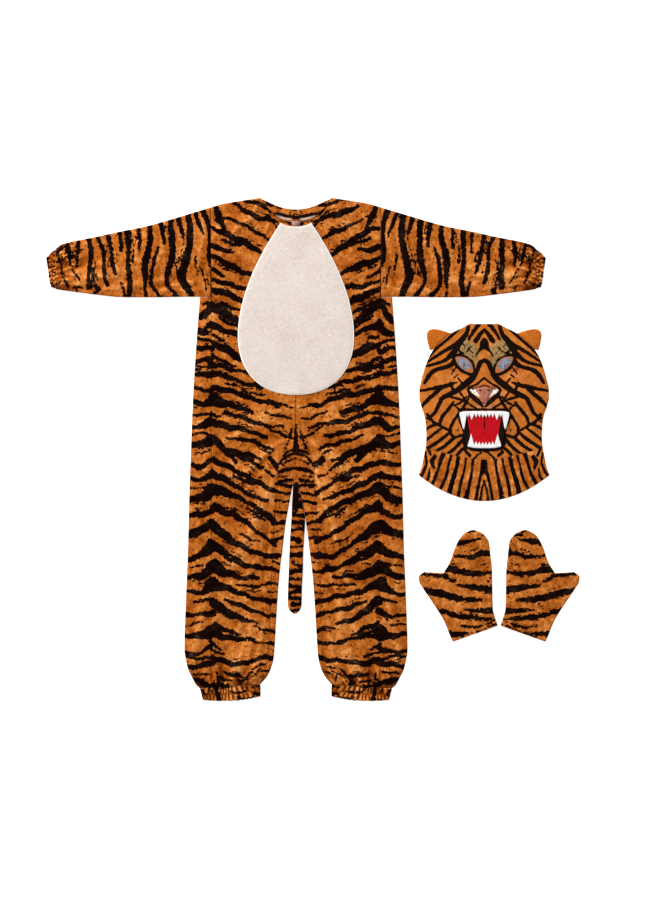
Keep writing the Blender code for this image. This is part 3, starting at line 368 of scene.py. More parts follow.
# Prints as strokes: each a list of (reach, drop, thickness), used on both sides of a garment
FRONT_STRIPES = [
    [(8, 53, 7), (15, 51, 9), (24, 48, 5)], [(122, 14, 8), (92, 30, 13), (42, 47, 8)],
    [(104, 3, 8), (62, 14, 9)], [(70, 12, 6), (48, 23, 9), (2, 41, 6)],
    [(157, 20, 11), (150, 40, 15), (143, 62, 8)],
    [(168, 60, 8), (140, 72, 14), (104, 92, 14), (66, 114, 7)], [(150, 84, 7), (114, 95, 8)],
    [(144, 38, 5), (112, 52, 8), (78, 70, 10), (54, 84, 6)],
    [(60, 30, 4), (46, 46, 7), (38, 62, 4)], [(168, 96, 13), (148, 104, 11), (126, 106, 6)],
    [(168, 118, 9), (130, 134, 15), (82, 156, 9)], [(168, 144, 10), (144, 158, 7)],
    [(168, 166, 8), (130, 176, 12), (92, 182, 9)], [(168, 184, 11), (130, 198, 16), (98, 215, 8)],
    [(152, 210, 6), (128, 222, 9), (108, 228, 6)], [(167, 214, 21), (146, 226, 17), (112, 250, 11)],
    [(150, 238, 7), (128, 252, 8), (108, 262, 6)], [(167, 254, 19), (146, 262, 13), (110, 276, 13)],
    [(167, 276, 8), (148, 282, 8)], [(167, 292, 12), (142, 302, 18), (110, 322, 11)],
    [(167, 316, 8), (142, 330, 10), (120, 334, 6)], [(167, 334, 14), (130, 342, 10), (88, 348, 6)],
    [(167, 352, 14), (120, 363, 11), (68, 379, 10)], [(140, 372, 5), (120, 378, 5)],
    [(167, 380, 13), (110, 394, 12), (34, 417, 8)], [(108, 384, 6), (64, 394, 6)],
    [(167, 400, 25), (142, 413, 16), (90, 428, 9)], [(142, 430, 10), (90, 446, 11), (24, 459, 6)],
    [(167, 430, 8), (150, 434, 6)], [(60, 428, 5), (30, 438, 7), (10, 441, 4)],
    [(50, 461, 5), (24, 475, 8), (8, 482, 4)], [(66, 407, 5), (30, 414, 7), (4, 421, 4)],
    [(130, 452, 5), (104, 462, 6)], [(167, 446, 18), (120, 460, 12), (60, 477, 9)],
    [(136, 476, 5), (100, 487, 7)], [(167, 482, 21), (150, 498, 17), (122, 526, 10)],
    [(144, 498, 8), (110, 510, 11), (72, 525, 7)], [(108, 482, 7), (80, 491, 10), (48, 503, 6)],
    [(74, 502, 5), (54, 512, 6)],
    [(0, 452, 4), (0.5, 466, 6), (1, 486, 8), (2, 500, 10), (4, 507, 9)],
    [(5, 505, 6), (16, 507, 6), (27, 514, 6)], [(9, 464, 5), (14, 482, 5.5), (22, 500, 5.5)],
    [(130, 507, 9), (96, 525, 10), (66, 543, 7)],
    [(166, 526, 13), (130, 540, 12), (88, 560, 10), (44, 588, 12)],
    [(166, 552, 15), (130, 570, 13), (94, 590, 11), (58, 605, 6.5)],
    [(122, 555, 6), (96, 566, 7), (78, 569, 5)], [(54, 521, 13), (33, 538, 13)],
    [(60, 548, 5), (42, 556, 7)], [(167, 580, 25), (130, 594, 16), (90, 613, 11), (42, 646, 13)],
    [(100, 620, 5.5), (80, 632, 7.5), (60, 642, 4.5)],
    [(167, 616, 18), (140, 629, 13), (112, 643, 11), (76, 667, 9), (42, 690, 12)],
    [(146, 616, 4.5), (124, 626, 5.5)],
    [(167, 652, 23), (136, 676, 18), (100, 700, 11), (78, 713, 12), (42, 717, 12)],
    [(110, 672, 4.5), (88, 684, 6.5), (70, 688, 3.5)],
    [(167, 694, 23), (132, 718, 18), (96, 736, 9)], [(98, 736, 6.5), (70, 741, 13), (42, 744, 7.5)],
    [(150, 728, 5.5), (134, 734, 4.5)],
    [(167, 736, 27), (140, 751, 18), (110, 757, 11), (74, 759, 6.5)],
    [(116, 772, 5.5), (84, 775, 7.5), (50, 774, 5.5)],
    [(167, 770, 26), (140, 780, 15), (90, 796, 11), (42, 808, 12)],
    [(142, 804, 6.5), (110, 816, 12), (80, 826, 9), (52, 833, 7.5)],
    [(167, 806, 21), (140, 828, 17), (110, 843, 11), (80, 849, 5.5)],
    [(162, 850, 9), (138, 862, 9), (110, 874, 5.5)],
    [(167, 866, 27), (140, 876, 14), (110, 881, 9), (80, 885, 5.5)],
    [(84, 857, 4.5), (54, 862, 6.5)], [(98, 886, 4.5), (58, 891, 6.5)],
    [(167, 922, 15), (130, 930, 12), (90, 925, 10), (42, 917, 11)],
    [(167, 906, 6.5), (138, 915, 5.5)], [(167, 890, 10), (148, 903, 5.5)],
    [(167, 973, 11), (150, 977, 12), (134, 974, 5)],
    [(146, 949, 6.5), (124, 954, 9), (102, 957, 5.5)], [(112, 968, 5.5), (94, 946, 6.5)],
    [(88, 940, 4.5), (66, 934, 5.5)], [(150, 962, 5.5), (128, 966, 5.5)],
    [(84, 952, 4), (76, 968, 5)], [(104, 974, 5), (122, 962, 4)], [(74, 944, 4), (96, 960, 4)],
    [(160, 950, 4), (152, 975, 6)],
]
SIDE_STRIPES = [
    [(169, 206, 8.5), (184, 214, 6.5)], [(169, 216, 13.5), (182, 236, 15.5), (200, 246, 11.5)],
    [(169, 258, 15.5), (182, 269, 15.5), (200, 270, 10.5)], [(172, 288, 8.5), (200, 282, 7.5)],
    [(169, 304, 13.5), (202, 299, 8.5)], [(169, 326, 12.5), (204, 324, 10.5)],
    [(169, 340, 5.5), (202, 340, 5.5)], [(169, 353, 13.5), (206, 350, 8.5)],
    [(169, 384, 11.5), (208, 380, 8.5)], [(169, 404, 22.5), (188, 411, 14.5), (210, 410, 9.5)],
    [(169, 431, 6.5), (210, 438, 6.5)], [(169, 448, 18.5), (190, 460, 11.5), (212, 457, 7.5)],
    [(172, 474, 5.5), (208, 472, 6.5)], [(169, 486, 24.5), (190, 494, 15.5), (214, 492, 10.5)],
    [(174, 506, 5.5), (204, 512, 4.5)], [(169, 526, 12.5), (190, 535, 12.5), (214, 532, 7.5)],
    [(169, 556, 14.5), (190, 562, 10.5), (214, 560, 10.5)], [(180, 578, 4.5), (212, 580, 5.5)],
    [(169, 584, 22.5), (190, 599, 18.5), (216, 605, 12.5)],
    [(169, 624, 14.5), (190, 634, 12.5), (218, 637, 10.5)],
    [(169, 654, 20.5), (190, 667, 17.5), (218, 674, 17.5)],
    [(169, 699, 22.5), (190, 712, 15.5), (220, 722, 11.5)], [(174, 730, 5.5), (212, 738, 5.5)],
    [(169, 741, 24.5), (192, 755, 15.5), (220, 758, 9.5)],
    [(169, 776, 22.5), (190, 788, 10.5), (220, 790, 7.5)], [(174, 802, 7.5), (204, 808, 6.5)],
    [(169, 828, 16.5), (200, 835, 8.5), (222, 833, 9.5)], [(188, 850, 5.5), (220, 854, 5.5)],
    [(169, 872, 24.5), (200, 875, 11.5), (224, 872, 8.5)],
    [(169, 900, 11.5), (200, 909, 8.5), (224, 907, 8.5)], [(172, 921, 8.5), (222, 916, 6.5)],
    [(169, 930, 12.5), (218, 937, 11.5)], [(174, 949, 5.5), (206, 951, 5.5)],
    [(169, 972, 9), (186, 966, 13), (206, 961, 6)],
]
INSEAM_STRIPES = [
    [(37, 573, 8), (8, 576, 9)], [(39, 590, 6), (12, 591, 7)], [(42, 608, 8), (12, 606, 6)],
    [(44, 628, 6), (14, 631, 8)], [(46, 648, 8), (20, 650, 9)], [(46, 666, 5), (26, 663, 4)],
    [(48, 682, 9), (24, 679, 7)], [(48, 713, 10), (26, 713, 7)], [(50, 728, 4), (34, 730, 4)],
    [(50, 744, 9), (28, 747, 7)], [(52, 772, 7), (30, 771, 6)], [(54, 790, 4), (38, 788, 4)],
    [(54, 808, 10), (34, 806, 7)], [(56, 834, 9), (36, 838, 8)], [(56, 862, 7), (38, 867, 10)],
    [(58, 890, 7), (40, 888, 9)], [(58, 917, 9), (44, 924, 5)], [(72, 948, 5), (50, 943, 6)],
]
GUSSET_STRIPES = [
    [(0, 510, 9), (20, 515, 8), (30, 525, 7), (37, 538, 5)],
    [(0, 521, 4), (14, 525, 4), (26, 533, 5)], [(0, 541, 8), (20, 544, 9), (36, 550, 8)],
    [(36, 558, 5), (14, 556, 3)], [(8, 563, 7), (36, 569, 8)],
]
SLEEVE_STRIPES = [
    [(182, 24, 13), (175, 60, 12), (172, 100, 14), (170, 137, 6)],
    [(199, 30, 10), (194, 54, 9), (187, 76, 4)],
    [(212, 34, 12), (214, 80, 14), (218, 124, 17), (226, 162, 17), (210, 199, 12)],
    [(231, 40, 11), (227, 76, 7)],
    [(247, 44, 12), (250, 84, 13), (247, 122, 15), (258, 168, 9), (240, 200, 11)],
    [(268, 50, 12), (266, 94, 8)], [(278, 102, 8), (284, 140, 10), (290, 170, 9), (272, 199, 10)],
    [(292, 56, 11), (294, 90, 12), (298, 126, 16), (304, 180, 6)], [(316, 62, 8), (313, 104, 7)],
    [(338, 68, 14), (333, 110, 10), (332, 150, 11), (336, 199, 12)], [(326, 84, 4), (322, 130, 6)],
    [(355, 70, 8), (349, 108, 7)], [(379, 74, 12), (370, 110, 9), (359, 150, 6)],
    [(398, 78, 7), (383, 118, 9), (378, 172, 8)], [(366, 104, 4), (358, 152, 7)],
    [(416, 82, 12), (410, 120, 11), (408, 150, 12), (414, 178, 15)],
    [(398, 128, 4), (402, 160, 6), (400, 186, 7)], [(438, 86, 9), (436, 112, 9), (434, 138, 7)],
    [(460, 90, 6), (452, 112, 9), (446, 136, 5)], [(444, 142, 4), (436, 157, 6), (429, 170, 5)],
    [(443, 177, 5), (438, 191, 5)], [(468, 150, 4), (458, 172, 7)], [(474, 104, 5), (466, 138, 6)],
    [(236, 128, 4), (233, 166, 5)], [(198, 118, 5), (196, 152, 4)], [(350, 170, 6), (344, 197, 7)],
    [(306, 184, 4), (300, 199, 7)], [(394, 182, 8), (406, 197, 5)], [(186, 140, 4), (182, 184, 5)],
    [(456, 96, 5), (470, 100, 6), (480, 112, 5)], [(446, 112, 5), (462, 122, 4), (478, 126, 5)],
    [(463, 125, 4), (465, 143, 5), (461, 158, 4)], [(484, 177, 5), (474, 171, 5), (464, 166, 3)],
    [(426, 100, 4), (440, 118, 6), (450, 128, 4)], [(430, 180, 5), (448, 178, 4)],
]
WRIST_STRIPES = [
    [(479, 104, 6), (486, 108, 5)], [(497, 120, 4), (495, 136, 5)], [(483, 130, 4), (489, 133, 4)],
    [(492, 152, 5), (494, 164, 4)], [(480, 150, 4), (485, 148, 5)], [(482, 178, 6), (491, 171, 6)],
]
ANKLE_STRIPES = [
    [(160, 972, 11), (157, 990, 9), (152, 1008, 12)], [(190, 982, 5), (182, 992, 5)],
    [(178, 1004, 5), (166, 1002, 4)], [(84, 996, 4), (104, 1001, 6), (116, 998, 4)],
    [(70, 992, 7), (82, 990, 8)], [(74, 975, 5), (92, 980, 4)],
    [(100, 986, 4), (120, 989, 5), (136, 984, 3)], [(112, 1004, 5), (130, 1007, 4)],
    [(130, 976, 5), (146, 979, 6)], [(168, 988, 4), (174, 980, 4)],
]
FACING_STRIPES = [
    [(64, 4, 8), (55, 12, 11), (46, 16, 6)], [(38, 19, 4), (29, 21, 4)],
    [(9.5, 23, 6), (10.5, 29, 5)], [(1, 23, 5), (2, 31, 4.5)],
    [(62, 20, 6), (46, 31, 6), (30, 35, 9), (17, 38, 9), (0, 39, 8)],
]
MITT_STRIPES = [
    [(-8, 1, 6), (8, 1, 6)], [(-26, 25, 13), (-4, 21, 10), (18, 17, 5)], [(10, 10, 4), (30, 9, 5)],
    [(36, 24, 7), (34, 18, 5)], [(-38, 51, 7), (3, 54, 11), (20, 46, 12), (44, 46, 17)],
    [(-54, 75, 17), (-26, 81, 13), (5, 87, 12), (44, 84, 9)], [(-30, 68, 4), (-46, 70, 3)],
    [(14, 70, 3), (32, 67, 3)], [(-98, 87, 8), (-59, 92, 8), (-34, 102, 9)],
    [(-26, 110, 6), (10, 115, 14), (44, 120, 16)],
    [(-98, 120, 10), (-61, 127, 15), (-20, 138, 14), (20, 140, 6)],
    [(-13, 159, 5), (20, 161, 10), (46, 162, 15)], [(-72, 160, 11), (-15, 173, 12), (48, 178, 6)],
    [(38, 96, 3), (34, 101, 3)], [(-18, 191, 4), (5, 194, 7), (40, 184, 3)],
    [(-48, 208, 15), (-26, 208, 11), (-6, 206, 4)], [(-60, 178, 5), (-52, 190, 4)],
    [(-20, 213, 4), (4, 205, 4), (28, 197, 3)], [(34, 193, 3), (52, 187, 5)],
    [(42, 32, 3), (38, 40, 5)], [(28, 30, 2), (33, 34, 3)], [(-6, 44, 3), (10, 38, 4)],
    [(-56, 82, 5), (-48, 94, 4)],
]
FACE_STRIPES = [
    [(30, -2, 7), (34, 16, 8), (45, 32, 11), (58, 43, 10), (76, 52, 7), (95, 64, 6), (115, 77, 5)],
    [(45, 34, 8), (53, 47, 9), (64, 60, 11), (79, 73, 7), (98, 80, 6), (116, 84, 5)],
    [(58, 71, 9), (64, 80, 10), (78, 87, 8), (97, 92, 8), (109, 102, 9), (119, 118, 6)],
    [(51, 11, 5), (68, 26, 6), (83, 39, 6), (99, 53, 6), (110, 66, 4)], [(61, 10, 3), (79, 24, 3)],
    [(10, 0, 9), (20, 13, 7), (27, 24, 6), (31, 32, 4)], [(0, 11, 5), (8, 21, 8), (17, 34, 10)],
    [(0, 31, 7), (1, 40, 15), (6, 49, 8), (12, 56, 4), (17, 65, 2.5)],
    [(0, 73, 8), (8, 78, 9), (14, 92, 9), (22, 106, 12), (37, 120, 13), (53, 132, 11),
     (69, 141, 10), (83, 148, 9), (92, 164, 8), (99, 178, 7), (114, 189, 5)],
    [(0, 108, 4), (13, 119, 4), (32, 132, 5), (28, 143, 5), (15, 156, 4), (3, 165, 4)],
    [(29, 137, 2.5), (20, 145, 4.5), (11, 153, 4), (4, 161, 2)], [(0, 125, 4), (5, 126, 3)],
    [(128, 134, 5), (106, 130, 6), (91, 127, 9), (76, 124, 8), (55, 117, 3)],
    [(126, 166, 6), (111, 150, 8), (98, 139, 8), (87, 130, 7)], [(68, 119, 6), (61, 133, 6)],
    [(52, 109, 4), (42, 121, 4)], [(69, 146, 4), (51, 150, 5), (39, 156, 4)],
    [(60, 163, 4), (48, 158, 5), (36, 146, 4)], [(48, 138, 4), (33, 158, 4), (18, 168, 4)],
    [(45, 171, 6), (36, 157, 5), (30, 145, 4)], [(65, 159, 3), (53, 168, 4), (49, 176, 4)],
    [(62, 157, 5), (73, 172, 7), (86, 189, 7), (89, 202, 5)],
    [(49, 177, 6), (60, 193, 6), (68, 210, 6), (67, 221, 5)],
    [(113, 181, 6), (104, 193, 5), (90, 203, 6), (76, 210, 5), (67, 214, 4)],
    [(67, 220, 6), (57, 227, 5), (46, 222, 5), (38, 230, 7)], [(116, 196, 4), (106, 192, 3)],
    [(117, 212, 5), (103, 203, 6), (90, 200, 4)], [(115, 232, 6), (98, 218, 6), (84, 208, 4)],
    [(112, 248, 7), (93, 236, 7), (75, 222, 6), (66, 214, 4)],
    [(96, 254, 5), (80, 245, 7), (64, 231, 7), (56, 225, 5)],
    [(74, 260, 5), (60, 250, 7), (48, 237, 7), (40, 228, 5)], [(118, 256, 5), (104, 262, 5)],
    [(54, 262, 6), (43, 250, 6), (33, 245, 5)], [(36, 256, 7), (29, 263, 6)],
    [(0, 252, 6), (20, 251, 6), (36, 245, 6), (42, 236, 5)],
    [(2, 256, 3), (12, 261, 4), (20, 269, 5)],
    [(0, 171, 4), (44, 171, 4), (50.5, 176, 4), (49.5, 192, 4), (42.5, 209, 4), (39.5, 227, 4),
     (35.5, 246, 4)],
    [(50, 61, 5), (45, 64, 7), (41, 66, 3)], [(26, 45, 2), (31, 49, 3), (33, 56, 2)],
    [(23, 66, 2), (27, 72, 3)], [(43, 40, 3), (38, 46, 2)], [(57, 87, 3), (65, 100, 3)],
    [(53, 102, 3), (59, 107, 3)], [(29, 52, 2), (24, 58, 3)], [(40, 50, 2), (36, 56, 3)],
    [(51, 52, 3), (46, 58, 5), (41, 59, 3)], [(27, 78, 2), (24, 84, 2)],
]
BROW_PATCH = [
    [(34, 34, 8), (38, 48, 26), (47, 60, 26)], [(28, 44, 14), (32, 56, 26)],
    [(20, 48, 14), (21, 62, 20), (20, 84, 7)],
]
MUZZLE_WHITE = [
    [(29, 131, 4), (18, 132, 8)], [(22, 136, 6), (10, 142, 9)],
    [(33, 138, 3), (25, 148, 4), (14, 156, 3)],
]
NOSE_BRIDGE = [[(13, 128, 7), (27, 129, 3)], [(57, 96, 3), (64, 92, 6), (70, 87, 4)]]
LIP = [[(-1, 162, 7), (9, 166, 8), (18, 169, 4)], [(50, 95, 2), (66, 105, 3), (86, 116, 1)]]
FACE_DOTS = [
    (52, 208, 3), (53, 214, 3), (48, 226, 3), (9, 133, 3.5), (15, 133, 3), (22, 131, 2.5),
    (27, 129, 2),
]
NOSE_LINES = [
    [(0, 123, 5), (14, 127, 3)], [(0, 130, 1), (0, 160, 1.5)], [(7.5, 133, 4), (9, 133, 4)],
]
TONGUE_LINE = [[(0, 180, 4), (0, 204, 3), (0, 216, 1)]]
EYE_SLIT = [[(40, 76, 1), (41.5, 83, 3), (41, 91, 2)]]
BIB_STRIPES = [
    [(0, 275, 14), (1, 287, 13), (7, 303, 7), (12, 326, 6), (17, 358, 7)],
    [(0, 313, 4), (4, 328, 5), (8, 356, 7)],
    [(22, 268, 8), (25, 290, 6), (29, 318, 7), (34, 356, 8)],
    [(36, 262, 5), (41, 290, 5), (46, 312, 7), (51, 350, 7)],
    [(50, 260, 9), (56, 284, 8), (62, 306, 10), (70, 344, 11)],
    [(64, 258, 6), (72, 282, 5), (77, 304, 7), (90, 336, 7)],
    [(79, 256, 9), (86, 272, 8), (92, 290, 6), (99, 308, 8), (108, 328, 8)],
    [(98, 266, 9), (104, 276, 10), (101, 288, 6)], [(110, 250, 7), (106, 262, 6)],
    [(116, 258, 5), (115, 276, 6), (121, 292, 6), (129, 306, 7)],
    [(110, 290, 4), (112, 304, 6), (120, 318, 6)], [(30, 316, 3), (40, 352, 4)],
    [(84, 336, 4), (60, 347, 4)],
]

# A twig's start and length as shares of its stroke, its offset, its width and its chance
TWIG_LEAST = (0, 0.3, 3.4, 2.4, 0)
TWIG_MOST = (0.55, 0.6, 5.4, 3.8, 1)
SHORT_STROKE = 24


def box_mm(node):
    """A solid's box, as its lowest and highest corner."""
    low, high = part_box(node)
    return np.array(low) / MM, np.array(high) / MM


def places():
    """Where each garment's own zero lies, worked out from its solids."""
    left, right = box_mm("front_left"), box_mm("front_right")
    suit = ((left[1][0] + right[0][0]) / 2, box_mm("back_left")[1][1])
    face = box_mm("mask_face")
    hood = ((face[0][0] + face[1][0]) / 2, face[1][1])
    mitts = {}
    for name, side in SIDES.items():
        low, high = box_mm(f"mitt_back_{name}")
        inner = high[0] if side < 0 else low[0]
        mitts[name] = (inner + side * CUFF_OUTER[0], high[1])
    return suit, hood, mitts


SUIT_PLACE, MASK_PLACE, MITT_PLACES = places()


def mix(a, b, share):
    return a + (b - a) * share


def ease(low, high, value):
    """A smooth rise from 0 at low to 1 at high."""
    t = np.clip((value - low) / (high - low), 0, 1)
    return t * t * (3 - 2 * t)


def stations(*runs):
    """Joins runs of (first, last, step) into one list of places, about a step apart."""
    out = []
    for first, last, step in runs:
        count = max(1, round(abs(last - first) / step))
        run = np.linspace(first, last, count + 1)
        out.extend(run if not out else run[1:])
    return np.array(out)


def creases(table, side, reach, drop):
    """How far the listed creases lift the cloth."""
    lift = np.zeros(np.shape(reach))
    for only, x, y, turn, length, width, height in table.rows:
        angle = math.radians(turn)
        along = (reach - x) * math.cos(angle) + (drop - y) * math.sin(angle)
        across = (drop - y) * math.cos(angle) - (reach - x) * math.sin(angle)
        across = across + CREASE_BEND * width * np.sin(along / length * 5 + x)
        here = height * np.exp(-((across / width) ** 2) - (2 * along / length) ** 4)
        lift += here if only == 0 else here * (np.sign(side) == only)
    return lift


def valley(distance, depth, width):
    """The dip that a seam pulls into the pile."""
    return -depth * np.exp(-((distance / width) ** 2))


def puckers(place, away, length):
    """Uneven folds that run in from a gathered seam: place counts them, away is the distance in."""
    fold = np.floor(place)
    height = PUCKER_HEIGHT + PUCKER_SPREAD * np.sin(12.9 * fold + 1)
    reach = length * (1 + 0.6 * np.sin(7.3 * fold))
    lumps = 1 + 0.45 * np.sin(away / 2.9 + 2.4 * fold)
    wave = abs(np.sin(math.pi * place)) ** 0.8
    return height * lumps * wave * np.exp(-np.maximum(away, 0) / reach)


def rounded(distance):
    """Height above the middle of an edge that is folded or sewn round a radius."""
    away = np.clip(EDGE_RADIUS - distance, 0, EDGE_RADIUS)
    return np.sqrt(EDGE_RADIUS**2 - away**2)


# The shapes of the jumpsuit and its sleeves


def belly_half(drop):
    """Half width of the belly patch, egg-shaped with its point up."""
    rise = np.clip(BELLY_WIDEST - drop, 0, BELLY_RISE) / BELLY_RISE
    above = BELLY_HALF * (1 - rise**BELLY_HEAD_POWER)
    share = np.clip((drop - BELLY_WIDEST) / BELLY_FALL, 0, 1)
    below = BELLY_HALF * (1 - share**BELLY_FOOT_POWER) ** (1 / BELLY_FOOT_POWER)
    return np.where(drop < BELLY_WIDEST, above, below)


def arch(angle, out):
    """The gusset's arched seam by the angle from its top, moved out by a little."""
    reach = (GUSSET_HALF + out) * np.sin(angle)
    return reach, GUSSET_FOOT - (GUSSET_RISE + out) * np.cos(angle)


def front_inner(drop):
    """The front's inner boundary: the centre seam, the gusset's arch, then the inseam."""
    share = np.clip((GUSSET_FOOT - drop) / (GUSSET_RISE + HALF_SLIT), 0, 1)
    curve = np.maximum(HALF_SLIT, (GUSSET_HALF + HALF_SLIT) * np.sqrt(1 - share * share))
    return np.where(drop < GUSSET_FOOT, curve, LEG("seam", drop) + HALF_SLIT)


def suit_seams(reach, drop):
    """Distance from the nearest seam of the suit's front."""
    side = np.where(drop < ARMPIT, abs(reach - ARMHOLE), abs(reach - SIDE_SEAM) + 1.1)
    centre = np.where(drop < GUSSET_FOOT - GUSSET_RISE, reach, FAR)
    inseam = np.where(drop > GUSSET_FOOT, abs(reach - LEG("seam", drop)), FAR)
    rise = np.minimum(0, drop - GUSSET_FOOT) / GUSSET_RISE
    on_arch = np.hypot(reach / GUSSET_HALF, rise)
    crotch = np.where(drop < GUSSET_FOOT, abs(on_arch - 1) * GUSSET_HALF, FAR)
    return np.minimum.reduce([side, centre, inseam, crotch])


def suit_edge(reach, drop):
    """Distance from the nearest folded edge or shoulder, where there is one."""
    edge = np.where(drop > ARMPIT, BODY("outer", drop) - reach, 2.0 * LOFT_RUN)
    edge = np.where(drop > CROTCH, np.minimum(edge, reach - LEG("inner", drop)), edge)
    by_shoulder = (drop < CHEST_LINE + LOFT_RUN) & (reach > NECK_HALF)
    return np.where(by_shoulder, np.minimum(edge, drop - SHOULDER("drop", reach)), edge)


def off_belly(reach, drop):
    """0 under the belly patch, 1 clear of it."""
    under_foot = ease(2, 26, np.hypot(np.maximum(reach - 10, 0), drop - BELLY_FOOT))
    return np.where(drop > BELLY_FOOT, under_foot, ease(3, 24, reach - belly_half(drop)))


def suit_folds(side, reach, drop):
    """How far creases, wrinkles and the puckers over the ankle lift the suit's upper face."""
    edge = suit_edge(reach, drop)
    near_free = ease(1, 14, edge)
    wide = CREASE_SIZE * creases(SUIT_CREASES, side, reach, drop)
    fine = WRINKLE_SIZE * creases(SUIT_WRINKLES, side, reach, drop)
    folds = (ease(EDGE_RADIUS, LOFT_RUN, edge) * wide + near_free * fine) * off_belly(reach, drop)
    across = (reach - LEG("inner", drop)) / (BODY("outer", drop) - LEG("inner", drop))
    up = ANKLE_SEAM - drop
    wander = 0.5 * np.sin(9 * across) + 0.003 * up * np.sin(5 * across + 1)
    gather = puckers(ANKLE_PUCKERS * across + wander, up, ANKLE_PUCKER_RUN)
    return folds + gather * near_free * (drop > ANKLE_PUCKER_TOP)


def suit_height(side, reach, drop, seamed=True):
    """Height of the suit's upper face."""
    edge = suit_edge(reach, drop)
    height = EDGE_HEIGHT + ease(EDGE_RADIUS, LOFT_RUN, edge) * LOFT + suit_folds(side, reach, drop)
    if seamed:
        seam = valley(suit_seams(reach, drop), *SUIT_DIP)
        height = height + seam * ease(1, 14, edge) * off_belly(reach, drop)
    return height


def leg_drop(reach, drop):
    """Where a place on the leg lies, once the slant of the ankle seam is added."""
    inner, outer = LEG("inner", drop), BODY("outer", drop)
    share = np.clip((reach - inner) / (outer - inner), 0, 1)
    return drop - ANKLE_SLANT * (1 - share) * ease(900, ANKLE_SEAM, drop)


def underarm_seam(reach):
    return SLEEVE("bottom", reach) - UNDERARM_FOLD


def sleeve_edge(reach, drop):
    return np.minimum(drop - SLEEVE("top", reach), SLEEVE("bottom", reach) - drop)


def sleeve_folds(side, reach, drop):
    """How far creases, wrinkles and the puckers at the wrist lift the sleeve's upper face."""
    edge = sleeve_edge(reach, drop)
    wide = CREASE_SIZE * creases(SLEEVE_CREASES, side, reach, drop)
    fine = WRINKLE_SIZE * creases(SLEEVE_WRINKLES, side, reach, drop)
    top, bottom = SLEEVE("top", reach), SLEEVE("bottom", reach)
    share = (drop - top) / (bottom - top)
    up = WRIST_SEAM - reach
    wander = 0.6 * np.sin(7 * share) + 0.006 * up * np.sin(4 * share)
    gather = puckers(WRIST_PUCKERS * share + wander, up, WRIST_PUCKER_RUN)
    return ease(EDGE_RADIUS, LOFT_RUN, edge) * wide + ease(1, 12, edge) * (fine + gather)


def sleeve_height(side, reach, drop):
    """Height of the sleeve's upper face."""
    edge = sleeve_edge(reach, drop)
    seam = valley(reach - ARMHOLE, *ARMHOLE_DIP)
    seam = seam + valley(underarm_seam(reach) - drop, *UNDERARM_DIP)
    folds = sleeve_folds(side, reach, drop) + ease(1, 12, edge) * seam
    return EDGE_HEIGHT + ease(EDGE_RADIUS, LOFT_RUN, edge) * LOFT + folds


# Reading the prints


def run_along(points):
    """How far along a stroke each of its points lies."""
    return np.concatenate([[0], np.cumsum(np.hypot(*np.diff(points[:, :2], axis=0).T))])


def stroke_distance(spots, strokes):
    """Distance of each spot from the nearest stroke's edge, negative inside it."""
    best = np.full(len(spots), FAR_OFF)
    for stroke in strokes:
        points = np.array(stroke, float)
        run = run_along(points)
        t = np.linspace(0, run[-1], max(2, int(run[-1] / 2.5)))
        curve = np.stack([smooth_between(run, points[:, k], t) for k in range(3)], axis=1)
        low = curve[:, :2].min(axis=0) - FAR_OFF
        high = curve[:, :2].max(axis=0) + FAR_OFF
        near = np.all((spots >= low) & (spots <= high), axis=1).nonzero()[0]
        if len(near):
            away = spots[near, None] - curve[None, :, :2]
            gap = np.hypot(away[:, :, 0], away[:, :, 1]) - curve[:, 2] / 2
            best[near] = np.minimum(best[near], gap.min(axis=1))
    return best


def wavered(side, reach, drop, size):
    """Places at which a print is read, so that its stripes waver and the two sides differ."""
    grow = size * ease(0, 40, reach)
    along = np.sin(drop / 17 + 3.4 * side + 0.5 * np.sin(reach / 23))
    down = 0.6 * np.sin(reach / 14 + drop / 31 + 1.7 * side)
    down += 0.4 * np.sin(reach / 6 - drop / 19 + 5.1 * side)
    return np.stack([reach + 0.8 * grow * along, drop + grow * down], axis=1)


def twigs(strokes, share):
    """Thin streaks that run beside some of the longer strokes, tapering at both ends."""
    made = []
    for stroke in strokes:
        points = np.array(stroke, float)
        run = run_along(points)
        start, length, offset, wide, chance = rng.uniform(TWIG_LEAST, TWIG_MOST)
        if chance > share or run[-1] < SHORT_STROKE:
            continue
        t = run[-1] * np.linspace(start, min(1, start + length), 5)
        x, y, thick = (smooth_between(run, points[:, k], t) for k in range(3))
        slope_x, slope_y = np.gradient(x), np.gradient(y)
        away = (thick / 2 + offset) * rng.choice((-1, 1)) / np.hypot(slope_x, slope_y)
        width = wide * np.array([0.3, 1, 0.8, 1, 0.3])
        made.append(list(zip(x - slope_y * away, y + slope_x * away, width)))
    return made


# Materials


def rgb(red, green, blue):
    """A screen colour as the linear one that a shader takes."""
    def linear(level):
        share = level / 255
        return share / 12.92 if level < 11 else ((share + 0.055) / 1.055) ** 2.4

    return (linear(red), linear(green), linear(blue), 1)


SHEEN = rgb(255, 190, 130)


class Value:
    """A shader value that Python's arithmetic can be written on."""

    def __init__(self, look, socket):
        self.look = look
        self.socket = socket

    def maths(self, operation, a, b):
        sockets = {0: a, 1: b}
        return self.look.node("ShaderNodeMath", {"operation": operation}, sockets)

    def __add__(self, other):
        return self.maths("ADD", self, other)

    __radd__ = __add__

    def __mul__(self, other):
        return self.maths("MULTIPLY", self, other)

    __rmul__ = __mul__

    def __sub__(self, other):
        return self.maths("SUBTRACT", self, other)

    def __rsub__(self, other):
        return self.maths("SUBTRACT", other, self)

    def largest(self, other):
        return self.maths("MAXIMUM", self, other)


